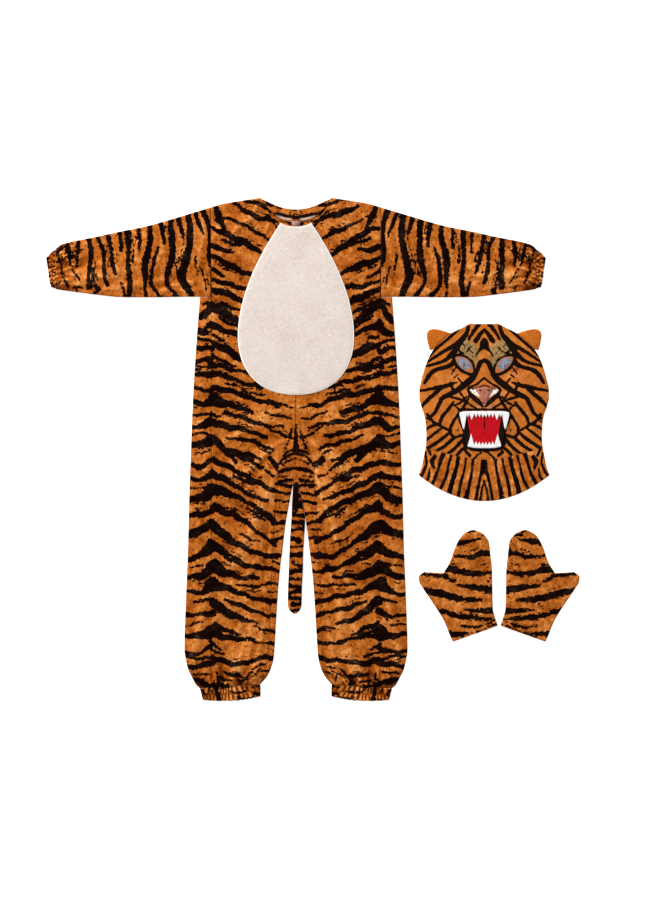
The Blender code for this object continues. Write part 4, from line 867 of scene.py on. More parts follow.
class Look:
    """A material with one Principled shader, whose nodes are added by name."""

    def __init__(self, name, roughness, sheen, sheen_tint=WHITE):
        self.material = bpy.data.materials.new(name)
        self.material.use_nodes = True
        self.nodes = self.material.node_tree.nodes
        self.links = self.material.node_tree.links
        self.shader = self.nodes["Principled BSDF"]
        self.shader.inputs["Roughness"].default_value = roughness
        self.shader.inputs["Sheen Weight"].default_value = sheen
        self.shader.inputs["Sheen Roughness"].default_value = 0.45
        self.shader.inputs["Sheen Tint"].default_value = sheen_tint
        self.shader.inputs["Specular IOR Level"].default_value = 0.04

    def node(self, kind, settings=None, sockets=None, output=0):
        """One shader node: its type, its settings and the values or links of its sockets."""
        made = self.nodes.new(kind)
        for key, setting in (settings or {}).items():
            if key == "stops":
                self.set_stops(made.color_ramp, setting)
            else:
                setattr(made, key, setting)
        for key, value in (sockets or {}).items():
            if isinstance(value, Value):
                self.links.new(value.socket, made.inputs[key])
            else:
                made.inputs[key].default_value = value
        return Value(self, made.outputs[output])

    @staticmethod
    def set_stops(ramp, stops):
        while len(ramp.elements) < len(stops):
            ramp.elements.new(1)
        for element, (position, colour) in zip(ramp.elements, stops):
            element.position = position
            element.color = colour

    def place(self):
        return self.node("ShaderNodeTexCoord", output="Object")

    def attribute(self, name):
        return self.node("ShaderNodeAttribute", {"attribute_name": name}, output="Fac")

    def noise(self, size, detail=2.0, run=(1, 1, 1)):
        """Noise about 0, mostly -1 to 1, of a grain in millimetres, longer where run is under 1."""
        stretched = self.node(
            "ShaderNodeVectorMath", {"operation": "MULTIPLY"}, {0: self.place(), 1: run}, "Vector"
        )
        sockets = {"Vector": stretched, "Scale": METRE / size, "Detail": detail}
        return self.node("ShaderNodeTexNoise", {}, sockets, "Fac") * 4 - 2

    def ramp(self, value, *stops):
        return self.node("ShaderNodeValToRGB", {"stops": stops}, {"Fac": value}, "Color")

    def step(self, value, low, high):
        """0 where value is under low, 1 over high, with a soft rise between."""
        sockets = {"Value": value, "From Min": low, "From Max": high}
        return self.node("ShaderNodeMapRange", {"interpolation_type": "SMOOTHSTEP"}, sockets)

    def blend(self, share, a, b):
        return self.node("ShaderNodeMix", {"data_type": "RGBA"}, {0: share, 6: a, 7: b}, 2)

    def spots(self, size, radius, share):
        """1 inside small round spots, one in a share of the cells of a size."""
        cells = {"Vector": self.place(), "Scale": METRE / size}
        flat = {"voronoi_dimensions": "2D"}
        distance = self.node("ShaderNodeTexVoronoi", flat, cells, "Distance")
        colour = self.node("ShaderNodeTexVoronoi", flat, cells, "Color")
        pick = self.node("ShaderNodeSeparateColor", {}, {0: colour})
        chosen = self.step(pick, 1 - share, 1.01 - share)
        return (1 - self.step(distance * size, 0.6 * radius, radius)) * chosen

    def finish(self, colour, height, depth):
        """The material in this colour, embossed by the height, which is as deep as depth."""
        sockets = {"Height": height, "Distance": depth * MM, "Strength": 1.0}
        bump = self.node("ShaderNodeBump", {}, sockets, "Normal")
        self.links.new(colour.socket, self.shader.inputs["Base Color"])
        self.links.new(bump.socket, self.shader.inputs["Normal"])
        return self.material


def fur_shades(look, mottle=1.0):
    """The orange of the plush, mottled at random where the pile leans, with painted highlights on
    fold crests and painted shade in dips and gather troughs.
    """
    clouds = 0.09 * look.noise(34) + 0.15 * look.noise(12)
    clouds = clouds + 0.12 * look.noise(4.5, run=(1, 0.6, 1))
    # Painted light: the attribute read here lightens fold crests and darkens dips; the ramp's
    # darkest stop is the painted shade of the deepest gather troughs.
    shade = 0.48 + clouds * mottle + look.attribute("ridge") * 0.16
    return look.ramp(
        shade,
        (0.0, rgb(30, 10, 0)), (0.18, rgb(100, 42, 2)), (0.36, rgb(150, 74, 16)),
        (0.52, rgb(180, 98, 33)), (0.68, rgb(210, 130, 62)), (0.9, rgb(238, 172, 104)),
    )


def pile_height(look):
    return look.noise(1.3) * 0.22 + look.noise(6) * 0.5


def stripe_look(name, ragged=1.0, run=(0.7, 1, 1), dots=0.3):
    """Orange plush printed with black stripes, whose ragged edges come from noise along their run.

    Dots is the share of orange cells that hold a black spot. With none, the print is plain.
    """
    look = Look(name, 0.95, 0.03, SHEEN)
    field = look.attribute("stripe")
    teeth = look.noise(3.9, run=run) * (2.1 * ragged) + look.noise(13, 1.0, run=run) * ragged
    black = 1 - look.step(field + teeth, -0.4, 0.4)
    if dots:
        along = tuple(0.45 * part * part for part in run)
        sliver = look.step(look.noise(3.4, 1.0, run=along), 1.0, 1.14)
        sliver = sliver * (1 - look.step(field, -4.4, -2.8))
        patchy = look.step(look.noise(38) + 0.5, 0.0, 0.3) * look.step(field, 1.5, 3.0)
        fleck = look.noise(5.2, 1.0, run=run) - look.step(field, 4.0, 16.0) * 0.2
        fleck = look.step(fleck, 0.86, 0.96).largest(look.spots(11, 1.7, dots)) * patchy
        black = (black * (1 - 0.9 * sliver)).largest(fleck)
    # Painted sheen on the black stripes: greyish-brown patches at random, lighter on fold crests
    # and darker in dips by the painted light.
    cloud = look.noise(11, run=run) * 0.2 + look.noise(3.2) * 0.13
    cloud = cloud + look.attribute("ridge") * 0.18 + 0.5
    black_with_painted_sheen = look.ramp(cloud, (0.5, rgb(12, 1, 0)), (0.72, rgb(30, 16, 9)), (0.98, rgb(88, 68, 54)))
    colour = look.blend(black, fur_shades(look), black_with_painted_sheen)
    colour = look.blend(look.attribute("pale"), colour, rgb(222, 190, 176))
    # Darker along the seams: partly the seam line itself and partly painted shade in the seam's
    # dip.
    seam = look.step(look.attribute("seam"), 0.1, 1.3)
    colour = look.blend((1 - seam) * 0.45, colour, rgb(60, 26, 8))
    return look.finish(colour, pile_height(look) - black * 0.4, 0.6)


def face_look():
    """The printed face: crisp black lines, tan brows, white and pink about the nose."""
    look = Look("face_plush", 0.95, 0.03, SHEEN)
    colour = look.blend(0.4, fur_shades(look, 0.9), rgb(206, 120, 48))
    grain = look.noise(3.5, 3.0) * 0.25 + 0.5
    white = look.noise(4) * 0.3 + 0.5
    prints = {
        "tan": look.ramp(grain, (0.3, rgb(116, 84, 44)), (0.7, rgb(178, 142, 92))),
        "white": look.ramp(white, (0.3, rgb(196, 120, 66)), (0.45, rgb(240, 232, 222))),
        "rust": look.ramp(grain, (0.3, rgb(118, 44, 14)), (0.7, rgb(176, 88, 52))),
        "pink": look.ramp(grain, (0.3, rgb(176, 96, 66)), (0.7, rgb(206, 134, 104))),
    }
    for name, tint in prints.items():
        share = 1 - look.step(look.attribute(name) + look.noise(6) * 1.2, -0.8, 0.8)
        colour = look.blend(share, colour, tint)
    line = look.attribute("stripe") + look.noise(6) * 0.8 + look.noise(2.2) * 0.2
    colour = look.blend(1 - look.step(line, 0.1, 0.8), colour, rgb(22, 10, 5))
    return look.finish(colour, pile_height(look), 0.5)


def cream_look():
    """The belly's short cream pile, white along its edge."""
    look = Look("cream_plush", 0.95, 0.06)
    weave = look.noise(1.6, run=(0.35, 1, 1)) + look.noise(1.6, run=(1, 0.35, 1))
    grain = weave * 0.14 + look.noise(7) * 0.08 + look.noise(50) * 0.08 + 0.5
    colour = look.ramp(
        grain, (0.2, rgb(192, 177, 167)), (0.5, rgb(213, 200, 191)), (0.8, rgb(225, 214, 206))
    )
    rim = look.step(look.attribute("seam"), 1.2, 2.2)
    colour = look.blend(rim, rgb(252, 250, 248), colour)
    return look.finish(colour, weave * 0.5, 0.16)


def plain_look(name, dark, light, grain, line=None):
    """Plain felt, plush or tape in two near shades, with a line on it where a colour is given."""
    look = Look(name, 0.9, 0.03)
    shade = look.noise(grain, 3.0) * 0.25 + look.noise(grain * 6) * 0.15 + 0.5
    colour = look.ramp(shade, (0.25, dark), (0.75, light))
    if line:
        share = 1 - look.step(look.attribute("stripe") + look.noise(5) * 0.3, -0.5, 0.6)
        colour = look.blend(share, colour, line)
    return look.finish(colour, look.noise(grain), 0.25)


def net_look():
    """Grey net whose rows of fine holes are painted in as dark shade, printed with orange corners
    and a dark slit.
    """
    look = Look("eye_net", 0.6, 0.03)
    wave = {"Vector": look.place(), "Scale": METRE / NET_PITCH / 6.283}
    rows = look.node("ShaderNodeTexWave", {"bands_direction": "X"}, wave, "Fac")
    columns = look.node("ShaderNodeTexWave", {"bands_direction": "Y"}, wave, "Fac")
    thread = rows.largest(columns)
    cloud = look.noise(9) * 0.3 + 0.5
    light = look.ramp(cloud, (0.2, rgb(96, 96, 108)), (0.75, rgb(168, 172, 190)))
    # Painted shade: the dark grey between the threads stands for the shaded hollow seen through the
    # holes.
    light = look.blend(look.step(thread, 0.3, 0.8), rgb(84, 82, 90), light)
    corner = look.step(look.attribute("corner") + look.noise(5), -0.8, 0.8)
    border = look.attribute("rim")
    corner = corner.largest(0.85 - look.step(border + look.noise(3) * 0.6, 3.8, 5.2))
    light = look.blend(corner, light, rgb(178, 104, 56))
    rim = 1 - look.step(border, 1.6, 2.6)
    slit = 0.7 - look.step(look.attribute("stripe") + look.noise(3) * 0.8, -0.7, 0.8)
    return look.finish(look.blend(rim.largest(slit), light, rgb(34, 24, 20)), thread, 0.2)


LOOKS = {
    "stripe_plush": stripe_look("stripe_plush"),
    "sleeve_plush": stripe_look("sleeve_plush", run=(1, 0.7, 1)),
    "mitt_plush": stripe_look("mitt_plush", 1.5, (0.6, 1, 1)),
    "bib_plush": stripe_look("bib_plush", 0.4, (1, 0.6, 1), 0),
    "face_plush": face_look(),
    "cream_plush": cream_look(),
    "ear_plush": plain_look("ear_plush", rgb(164, 80, 16), rgb(202, 112, 38), 3.0),
    "eye_net": net_look(),
    "nose_felt": plain_look(
        "nose_felt", rgb(150, 84, 66), rgb(196, 130, 108), 1.6, rgb(84, 24, 14)),
    "black_felt": plain_look("black_felt", rgb(14, 6, 3), rgb(34, 22, 17), 1.6),
    "red_felt": plain_look("red_felt", rgb(170, 10, 20), rgb(200, 22, 32), 1.8, rgb(60, 4, 8)),
    "white_felt": plain_look("white_felt", rgb(222, 220, 220), rgb(246, 245, 245), 1.8),
    "label_tape": plain_look("label_tape", rgb(150, 104, 94), rgb(196, 158, 148), 0.8),
}


# Making pieces


def add(name, data):
    """Puts a mesh, lamp or camera into the scene."""
    made = bpy.data.objects.new(name, data)
    bpy.context.collection.objects.link(made)
    return made


def new_piece(node, bm, look):
    """The dressed piece that stands for one solid, all of it on the costume's one body."""
    mesh = bpy.data.meshes.new(f"{node}_cloth")
    bm.to_mesh(mesh)
    bm.free()
    mesh.shade_smooth()
    mesh.materials.append(LOOKS[look])
    piece = add(mesh.name, mesh)
    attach(piece, "root")
    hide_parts(node)
    return piece


def turn_out(bm, facing):
    """Points the faces one way: 1 up, -1 down, 0 away from the piece's middle height."""
    bmesh.ops.recalc_face_normals(bm, faces=bm.faces)
    middle = sum(v.co.z for v in bm.verts) / len(bm.verts)
    lean = 0
    for face in bm.faces:
        upward = facing or face.calc_center_median().z - middle
        lean += face.normal.z * upward * face.calc_area()
    if lean < 0:
        bmesh.ops.reverse_faces(bm, faces=bm.faces)


def shell(patches, garment):
    """Grids of faces whose points a function places on a garment, joined where they meet."""
    bm = bmesh.new()
    for across, along, put in patches:
        made = bmesh.ops.create_grid(
            bm, x_segments=len(across) - 1, y_segments=len(along) - 1, size=1
        )["verts"]
        flat = np.array([vertex.co[:2] for vertex in made])
        column = np.rint((flat[:, 0] + 1) / 2 * (len(across) - 1)).astype(int)
        row = np.rint((flat[:, 1] + 1) / 2 * (len(along) - 1)).astype(int)
        x, drop, z = put(across[column], along[row])
        spots = np.stack([garment[0] + x, garment[1] - drop, z + 0 * x], axis=1) * MM
        for vertex, spot in zip(made, spots):
            vertex.co = spot
    bmesh.ops.remove_doubles(bm, verts=bm.verts, dist=WELD * MM)
    bmesh.ops.dissolve_degenerate(bm, edges=bm.edges, dist=WELD / 2 * MM)
    return bm


def merged_solid(node):
    """The solid itself, with its points merged."""
    bm = bmesh.new()
    bm.from_mesh(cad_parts[node].data)
    bmesh.ops.remove_doubles(bm, verts=bm.verts, dist=WELD / 2 * MM)
    return bm


def store(piece, **fields):
    """Writes numbers on a piece's points, over those of the same name."""
    layers = piece.data.attributes
    for name, values in fields.items():
        if name not in layers:
            layers.new(name, "FLOAT", "POINT")
        layers[name].data.foreach_set("value", np.asarray(values, np.float32))


def points_mm(piece):
    co = np.empty(len(piece.data.vertices) * 3)
    piece.data.vertices.foreach_get("co", co)
    return co.reshape(-1, 3) / MM


def spots_of(piece, garment):
    """The piece's points on its garment: side, reach and drop."""
    points = points_mm(piece)
    x, drop = points[:, 0] - garment[0], garment[1] - points[:, 1]
    return np.sign(x), abs(x), drop


def plush_painted_light(folds, near, spread):
    """Painted light on the plush: 1, a painted highlight, on a fold's crest and -1, painted shade,
    in a dip, with more painted shade where near is 1, beside the gathers.
    """
    gather_shade = PAINTED_LIGHT_RANGE * near
    return np.clip(folds / (PAINTED_LIGHT_RANGE - spread * near), -1, 1 + gather_shade) - gather_shade


def suit_painted_light(side, reach, drop, _):
    return plush_painted_light(suit_folds(side, reach, drop), ease(930, 974, drop), 0.9)


def sleeve_painted_light(side, reach, drop, _):
    return plush_painted_light(sleeve_folds(side, reach, drop), ease(432, 472, reach), 1.1)


def casing_painted_light(_, reach, drop, z):
    """Painted light on a casing: a painted highlight on the crest of a gather and painted shade,
    near black, in its trough.
    """
    low = GATHER_DEPTH / 2
    crest = np.clip((abs(z - CASING_HEIGHT / 2) - CASING_HEIGHT / 2 + low) / low, -1, 1) * 2.7
    return crest - 0.8 - 0.5 * np.sin(reach / 11) * np.sin(drop / 9)


def cloth(node, patches, garment, facing, look, wall=WALL,
          strokes=(), seams=None, ridge=None, waver=0):
    """A sheet of cloth with a real wall, its stripes' and seams' distances and its painted light
    stored on its points.

    Facing is 1 for an upper layer, -1 for an under layer and 0 for a tube. Waver is how far the
    sheet's stripes wander. Painted light, where given, sets each point's painted highlight or
    shade.
    """
    bm = shell(patches, garment)
    turn_out(bm, facing)
    area = sum(face.calc_area() for face in bm.faces)
    piece = new_piece(node, bm, look)
    side, reach, drop = spots_of(piece, garment)
    store(
        piece,
        seam=seams(reach, drop) if seams else np.full(len(reach), FAR_OFF),
        stripe=stroke_distance(wavered(side, reach, drop, waver), strokes),
        ridge=ridge(side, reach, drop, points_mm(piece)[:, 2]) if ridge else 0 * reach,
    )
    wall_maker = piece.modifiers.new("wall", "SOLIDIFY")
    wall_maker.thickness = wall * MM
    wall_maker.offset = -1
    kind = node.removesuffix("_left").removesuffix("_right")
    flat, fullness = CUTS[kind], FULLNESS.get(kind, 1)
    area = min(area * fullness, flat[0] * flat[1])
    return piece


# The jumpsuit's pieces


SUIT_STRIPES = [
    *FRONT_STRIPES, *SIDE_STRIPES, *INSEAM_STRIPES, *twigs(FRONT_STRIPES, 0.9),
    *twigs(SIDE_STRIPES, 0.5),
]
ARM_STRIPES = [*SLEEVE_STRIPES, *twigs(SLEEVE_STRIPES, 0.7)]


def yoke_spot(u, w, neckline):
    """A place between the neck or shoulder and the chest line, and how far below the shoulder."""
    reach = mix(HALF_SLIT, ARMHOLE - HALF_SLIT, u)
    on_shoulder = reach >= NECK_HALF + 1
    start = np.where(on_shoulder, SHOULDER("drop", reach), NECK(neckline, reach))
    drop = mix(start, CHEST_LINE, w)
    return reach, drop, np.where(on_shoulder, drop - start, FAR)


def make_front(node, side):
    across = stations((0, 1, 0.0165))
    yoke = np.array([*YOKE_HEAD, *np.linspace(0.08, 1, 24)])
    drops = np.concatenate([
        stations((CHEST_LINE, arch(0, 0)[1] - 1, FRONT_STEP)),
        arch(np.linspace(0, math.pi / 2, 16), HALF_SLIT)[1],
        stations((GUSSET_FOOT + 3, CROTCH, FRONT_STEP), (CROTCH, LEG_FOOT, FRONT_STEP)),
    ])

    def put_yoke(u, w):
        reach, drop, below = yoke_spot(u, w, "front")
        z = suit_height(side, reach, drop) - EDGE_RADIUS + rounded(below)
        return side * reach, drop, np.maximum(z, EDGE_RADIUS + HALF_GAP)

    def put_body(u, w):
        edge = mix(ARMHOLE - HALF_SLIT, SIDE_SEAM - HALF_SLIT, ease(CHEST_LINE, ARMPIT, w))
        reach = mix(front_inner(w), edge, u)
        return side * reach, leg_drop(reach, w), suit_height(side, reach, w)

    cloth(
        node, [(across, yoke, put_yoke), (across, drops, put_body)], SUIT_PLACE, 1, "stripe_plush",
        strokes=SUIT_STRIPES, seams=suit_seams,
        ridge=suit_painted_light, waver=SUIT_WAVER,
    )


def fold_place(side, line, inward):
    """Places round a folded edge of the suit, from the floor at -90 degrees to the top at 90."""
    def put(angle, w):
        edge = line(w)
        reach = edge + inward * EDGE_RADIUS * (1 - np.cos(angle))
        top = suit_height(side, edge + inward * EDGE_RADIUS, w, False) - EDGE_HEIGHT
        lift = top * ease(0, math.pi / 2, angle)
        return side * reach, leg_drop(reach, w), EDGE_RADIUS * (1 + np.sin(angle)) + lift
    return put


def strip_place(side, start, end):
    """Places on a strip of the suit's upper face, between two lines that run down it."""
    def put(u, w):
        reach = mix(start(w), end(w), u)
        return side * reach, leg_drop(reach, w), suit_height(side, reach, w)
    return put


def make_back(node, side):
    """The back half, with the strips that wrap forward round the side and the inner leg."""
    shares = stations((0, 1, 0.07))
    angles = stations((-math.pi / 2, math.pi / 2, math.pi / 8))
    yoke = np.array([*YOKE_HEAD, *np.linspace(0.1, 1, 12)])
    leg = stations((CROTCH, LEG_FOOT, BACK_STEP))
    rows = np.concatenate([stations((ARMPIT, CROTCH - SEAM_GAP, BACK_STEP)), leg])

    def outer(drop):
        return BODY("outer", drop)

    def inner(drop):
        return LEG("inner", drop)

    def put_yoke(u, w):
        reach, drop, below = yoke_spot(u, w, "back")
        z = np.minimum(EDGE_RADIUS - rounded(below), EDGE_RADIUS - HALF_GAP)
        return side * reach, drop, z

    def put_chest(u, w):
        return side * mix(HALF_SLIT, ARMHOLE - HALF_SLIT, u), w, 0 * u

    def put_floor(u, w):
        start = np.where(w < CROTCH - HALF_SLIT, HALF_SLIT, inner(w) + EDGE_RADIUS)
        reach = mix(start, outer(w) - EDGE_RADIUS, u)
        return side * reach, leg_drop(reach, w), 0 * u

    side_strip = strip_place(
        side, lambda drop: outer(drop) - EDGE_RADIUS, lambda drop: SIDE_SEAM + HALF_SLIT)
    inner_strip = strip_place(
        side, lambda drop: inner(drop) + EDGE_RADIUS, lambda drop: LEG("seam", drop) - HALF_SLIT)
    patches = [
        (shares, yoke, put_yoke), (shares, stations((CHEST_LINE, ARMPIT, 20)), put_chest),
        (shares, rows, put_floor), (angles, rows, fold_place(side, outer, -1)),
        (shares, rows, side_strip), (angles, leg, fold_place(side, inner, 1)),
        (shares, leg, inner_strip),
    ]
    cloth(
        node, patches, SUIT_PLACE, -1, "stripe_plush", strokes=SUIT_STRIPES, seams=suit_seams,
        ridge=suit_painted_light, waver=SUIT_WAVER,
    )


def make_gusset():
    angles = np.linspace(-math.pi / 2, math.pi / 2, 31)

    def put(u, w):
        x, head = arch(u, -HALF_SLIT)
        drop = mix(head, CROTCH - SEAM_GAP, w)
        middle = np.clip(1 - (x / GUSSET_HALF) ** 2, 0, 1)
        swell = GUSSET_SWELL * middle * np.sin(math.pi * np.clip(w, 0, 0.9))
        return x, drop, suit_height(1, abs(x), drop) + swell

    cloth(
        "crotch_gusset", [(angles, stations((0, 1, 0.06)), put)], SUIT_PLACE, 1, "stripe_plush",
        strokes=GUSSET_STRIPES, seams=suit_seams,
        ridge=suit_painted_light,
    )


def sleeve_place(side):
    """Places round the flattened sleeve: u is 0 to 4, over floor, lower fold, top, upper fold."""
    def put(u, w):
        head = SLEEVE("top", w)
        flat = SLEEVE("bottom", w) - head - EDGE_HEIGHT
        part = np.minimum(np.floor(u), 3)
        share = u - part
        angle = math.pi * (share - 0.5)
        out, up = EDGE_RADIUS * np.cos(angle), EDGE_RADIUS * np.sin(angle)
        on_part = [part == 0, part == 1, part == 2]
        along = np.select(on_part, [flat * share, flat + out, flat * (1 - share)], -out)
        drop = head + EDGE_RADIUS + along
        top = sleeve_height(side, w, drop)
        turned = ease(0, 1, np.where(part == 1, share, 1 - share))
        tall = mix(EDGE_HEIGHT, top, turned) / EDGE_HEIGHT
        z = np.select(
            on_part, [0 * u, (EDGE_RADIUS + up) * tall, top], (EDGE_RADIUS - up) * tall)
        return side * w, drop, z
    return put


def make_sleeve(node, side):
    around = stations((0, 1, 0.12), (1, 2, 0.17), (2, 3, 0.018), (3, 4, 0.17))
    along = stations(
        (ARMHOLE + HALF_SLIT, FOREARM, FRONT_STEP), (FOREARM, WRIST_SEAM, FOREARM_STEP))

    def seams(reach, drop):
        return np.minimum(abs(reach - ARMHOLE), abs(underarm_seam(reach) - drop) + 0.6)

    cloth(
        node, [(around, along, sleeve_place(side))], SUIT_PLACE, 0, "sleeve_plush",
        strokes=ARM_STRIPES, seams=seams, ridge=sleeve_painted_light, waver=SUIT_WAVER,
    )


def gathers_place(form, gathers, side):
    """Places round an elasticated band, in waves that are deep between two rows of stitching."""
    radius = CASING_HEIGHT / 2
    fold = math.pi * radius

    def put(u, w):
        ax, ay = form("first_reach", w), form("first_drop", w)
        gone_x, gone_y = form("last_reach", w) - ax, form("last_drop", w) - ay
        width = np.hypot(gone_x, gone_y)
        rx, ry = gone_x / width, gone_y / width
        flat = width - 2 * radius
        place = (2 * flat + 2 * fold) * u
        first = (place - flat) / radius - math.pi / 2
        second = (place - 2 * flat - fold) / radius + math.pi / 2
        on_part = [place < flat, place < flat + fold, place < 2 * flat + fold]
        along = np.select(
            on_part,
            [radius + place, radius + flat + radius * np.cos(first),
             radius + 2 * flat + fold - place],
            radius + radius * np.cos(second),
        )
        out_x = np.select(on_part, [0 * u, np.cos(first), 0 * u], np.cos(second))
        out_z = np.select(on_part, [-1 + 0 * u, np.sin(first), 1 + 0 * u], np.sin(second))
        crowded = u + 0.018 * np.sin(6 * math.pi * u) + 0.006 * np.sin(14 * math.pi * u + 1)
        lean = 1.1 * (w - 0.5) * np.sin(4 * math.pi * u + 0.5)
        upper = gathers * crowded + lean + 0.1 * np.sin(2 * math.pi * w)
        lower = upper + 0.45 + 0.2 * np.sin(23 * u)
        row = ease(0.38, 0.62, w)
        crest = mix(abs(np.sin(math.pi * upper)), abs(np.sin(math.pi * lower)), row) ** 0.8
        crest = crest * (0.8 + 0.2 * np.sin(5.7 * np.floor(upper) + 2))
        pinch = 0.55 + 0.45 * abs(np.sin(2 * math.pi * w))
        stitched = STITCH_DEPTH * np.exp(-(((w - 0.5) / 0.09) ** 2))
        trough = GATHER_DEPTH * (1 - crest) * pinch + stitched
        scallop = SCALLOP * (crest - 0.5) * ease(0.6, 1, w)
        share = along / width
        bow = form("bow", w) * 4 * share * (1 - share)
        inward = along - out_x * trough
        x = ax + rx * inward + scallop * ry
        drop = ay + ry * inward + scallop * rx + bow
        return side * x, drop, radius + radius * out_z - out_z * trough
    return put


def wrist_seam(reach, _):
    return abs(reach - WRIST_SEAM)


def ankle_seam(reach, drop):
    inner, outer = ANKLE.column("first_reach")[0], ANKLE.column("last_reach")[0]
    slanted = mix(ANKLE_SEAM - ANKLE_SLANT, ANKLE_SEAM, (reach - inner) / (outer - inner))
    return abs(drop - slanted)


def make_casing(node, side, form, gathers, strokes, seams):
    around = stations((0, 1, 1 / (10 * gathers)))
    cloth(
        node, [(around, stations((0, 1, 0.055)), gathers_place(form, gathers, side))], SUIT_PLACE,
        0, "stripe_plush", strokes=strokes, seams=seams, ridge=casing_painted_light,
    )


def make_facing():
    across = np.linspace(-FACING_HALF, FACING_HALF, 41)

    def put(u, w):
        drop = NECK("back", abs(u)) + mix(0.6, FACING_DEPTH, w)
        return u, drop, WALL + SEAM_GAP + FELT - 0.2 + 0.2 * np.sin(u / 9)

    def hem(reach, drop):
        return abs(NECK("back", reach) + FACING_DEPTH - 5.5 - drop)

    piece = cloth(
        "neck_facing", [(across, stations((0, 1, 0.12)), put)], SUIT_PLACE, 1, "stripe_plush",
        wall=FACING_WALL, strokes=FACING_STRIPES, seams=hem,
    )
    _, reach, drop = spots_of(piece, SUIT_PLACE)
    below_hem = ease(19.6, 20.4, drop - NECK("back", reach))
    store(piece, pale=below_hem * ease(6, 12, reach) * ease(44, 26, reach))


def make_label():
    piece = new_piece("neck_label", merged_solid("neck_label"), "label_tape")


def make_belly():
    neck = NECK("front", np.array(BELLY_TOP_HALF))
    top = float(neck)
    rows = stations((top, 360, 4), (360, 384, 2), (384, 391, 1), (391, BELLY_FOOT - 0.2, 0.6))
    half_edge = np.array([1, 0.996, 0.985, 0.965])
    across = np.concatenate([-half_edge, np.linspace(-0.92, 0.92, 47), half_edge[::-1]])

    def put(u, w):
        half = belly_half(w)
        reach = u * half
        sink = NECK("front", np.minimum(BELLY_TOP_HALF, abs(reach))) - neck
        drop = w + np.maximum(0, sink) * ease(118, top, w)
        inset = np.minimum.reduce([(1 - abs(u)) * half, w - top + 0.3, (BELLY_FOOT - w) * 1.4])
        puff = BELLY_PILE * (0.55 + 0.45 * ease(0, 4, inset))
        ripple = 0.25 * np.sin(reach / 19 + w / 31) + 0.2 * np.sin(w / 23 - reach / 40)
        z = suit_height(1, abs(reach), drop, False) + SEAM_GAP + puff
        return reach, drop, z + ripple * ease(4, 20, inset)

    def rim(reach, drop):
        return np.minimum(abs(belly_half(drop) - reach), 1.2 * abs(BELLY_FOOT - drop) + 0.4)

    cloth(
        "belly_patch", [(across, rows, put)], SUIT_PLACE, 1, "cream_plush",
        wall=BELLY_WALL, seams=rim,
    )


def squared(value, power):
    """A sine or cosine made fuller or flatter, its sign kept."""
    return np.sign(value) * abs(value) ** power


def tail_stripes():
    """Bands round the tail, uneven in width and distance, some of them short."""
    strokes = [[(0, 567, 14), (-1, 592, 13), (-1, 612, 9), (1, 628, 5)]]
    drop = 596.0
    for k in range(TAIL_BANDS):
        tilt = 4 * math.sin(2.3 * k)
        thick = 7 + 7 * abs(math.sin(1.7 * k + 0.5))
        left, right = (-20, 20) if k % 3 else (-20 + 14 * (k % 2), 6 + 14 * (k % 2))
        band = [(left, drop - tilt, thick), (0, drop + 0.5 * tilt, 0.7 * thick)]
        strokes.append([*band, (right, drop + tilt, thick)])
        drop += 11 + 6 * abs(math.sin(2.9 * k))
    return strokes


def make_tail():
    """The stuffed tail, narrow enough at its root to lie between the legs."""
    angles = stations((0, 2 * math.pi, math.pi / 14))
    rows = stations((569.4, 584, 1.5), (584, 812, 2.6), (812, 831, 1.2))

    def put(u, w):
        free = LEG("inner", w) - SEAM_SLIT
        left, right = np.maximum(TAIL("left", w), -free), np.minimum(TAIL("right", w), free)
        radius = TAIL("height", w) / 2
        rise = squared(np.sin(u), 0.75)
        crook = 0.03 * np.sin(w / 17) * (rise > 0)
        x = (right + left) / 2 + (right - left) / 2 * squared(np.cos(u), 0.8)
        return x, w, radius + radius * rise * (1 + crook)

    bm = shell([(angles, rows, put)], SUIT_PLACE)
    ends = [edge for edge in bm.edges if edge.is_boundary]
    bmesh.ops.holes_fill(bm, edges=ends, sides=0)
    bmesh.ops.recalc_face_normals(bm, faces=bm.faces)
    piece = new_piece("tail", bm, "stripe_plush")
    side, reach, drop = spots_of(piece, SUIT_PLACE)
    spots = np.stack([side * reach, drop], axis=1)
    store(piece, stripe=stroke_distance(spots, tail_stripes()), seam=np.full(len(drop), FAR_OFF))


# The mask: a face and a back sewn together round an outline, with a bib below


def edge_distance(x, drop, outline):
    """Distance of each place from a polyline."""
    best = np.full(np.shape(x), 1e9)
    for (ax, ay), (bx, by) in zip(outline, outline[1:]):
        rx, ry = bx - ax, by - ay
        share = np.clip(((x - ax) * rx + (drop - ay) * ry) / (rx * rx + ry * ry), 0, 1)
        best = np.minimum(best, np.hypot(ax + rx * share - x, ay + ry * share - drop))
    return best


def mask_line():
    drops = MASK_HEM_CORNER * (np.arange(61) / 60) ** 1.6
    half = MASK("half", drops)
    return [*zip(half[::-1], drops[::-1]), *zip(-half, drops)]


MASK_LINE = mask_line()


def bib_seam(x):
    return mix(BIB_SEAM_MIDDLE, BIB_SEAM_SIDE, ease(0, 150, abs(x)) * 1.25)


def seam_drop(share, gap):
    """Drop of the bib's seam at a share of the mask's half width, found in a few steps."""
    drop = np.full(np.shape(share), float(BIB_SEAM_SIDE))
    for _ in range(4):
        drop = bib_seam(share * MASK("half", drop)) + gap
    return drop


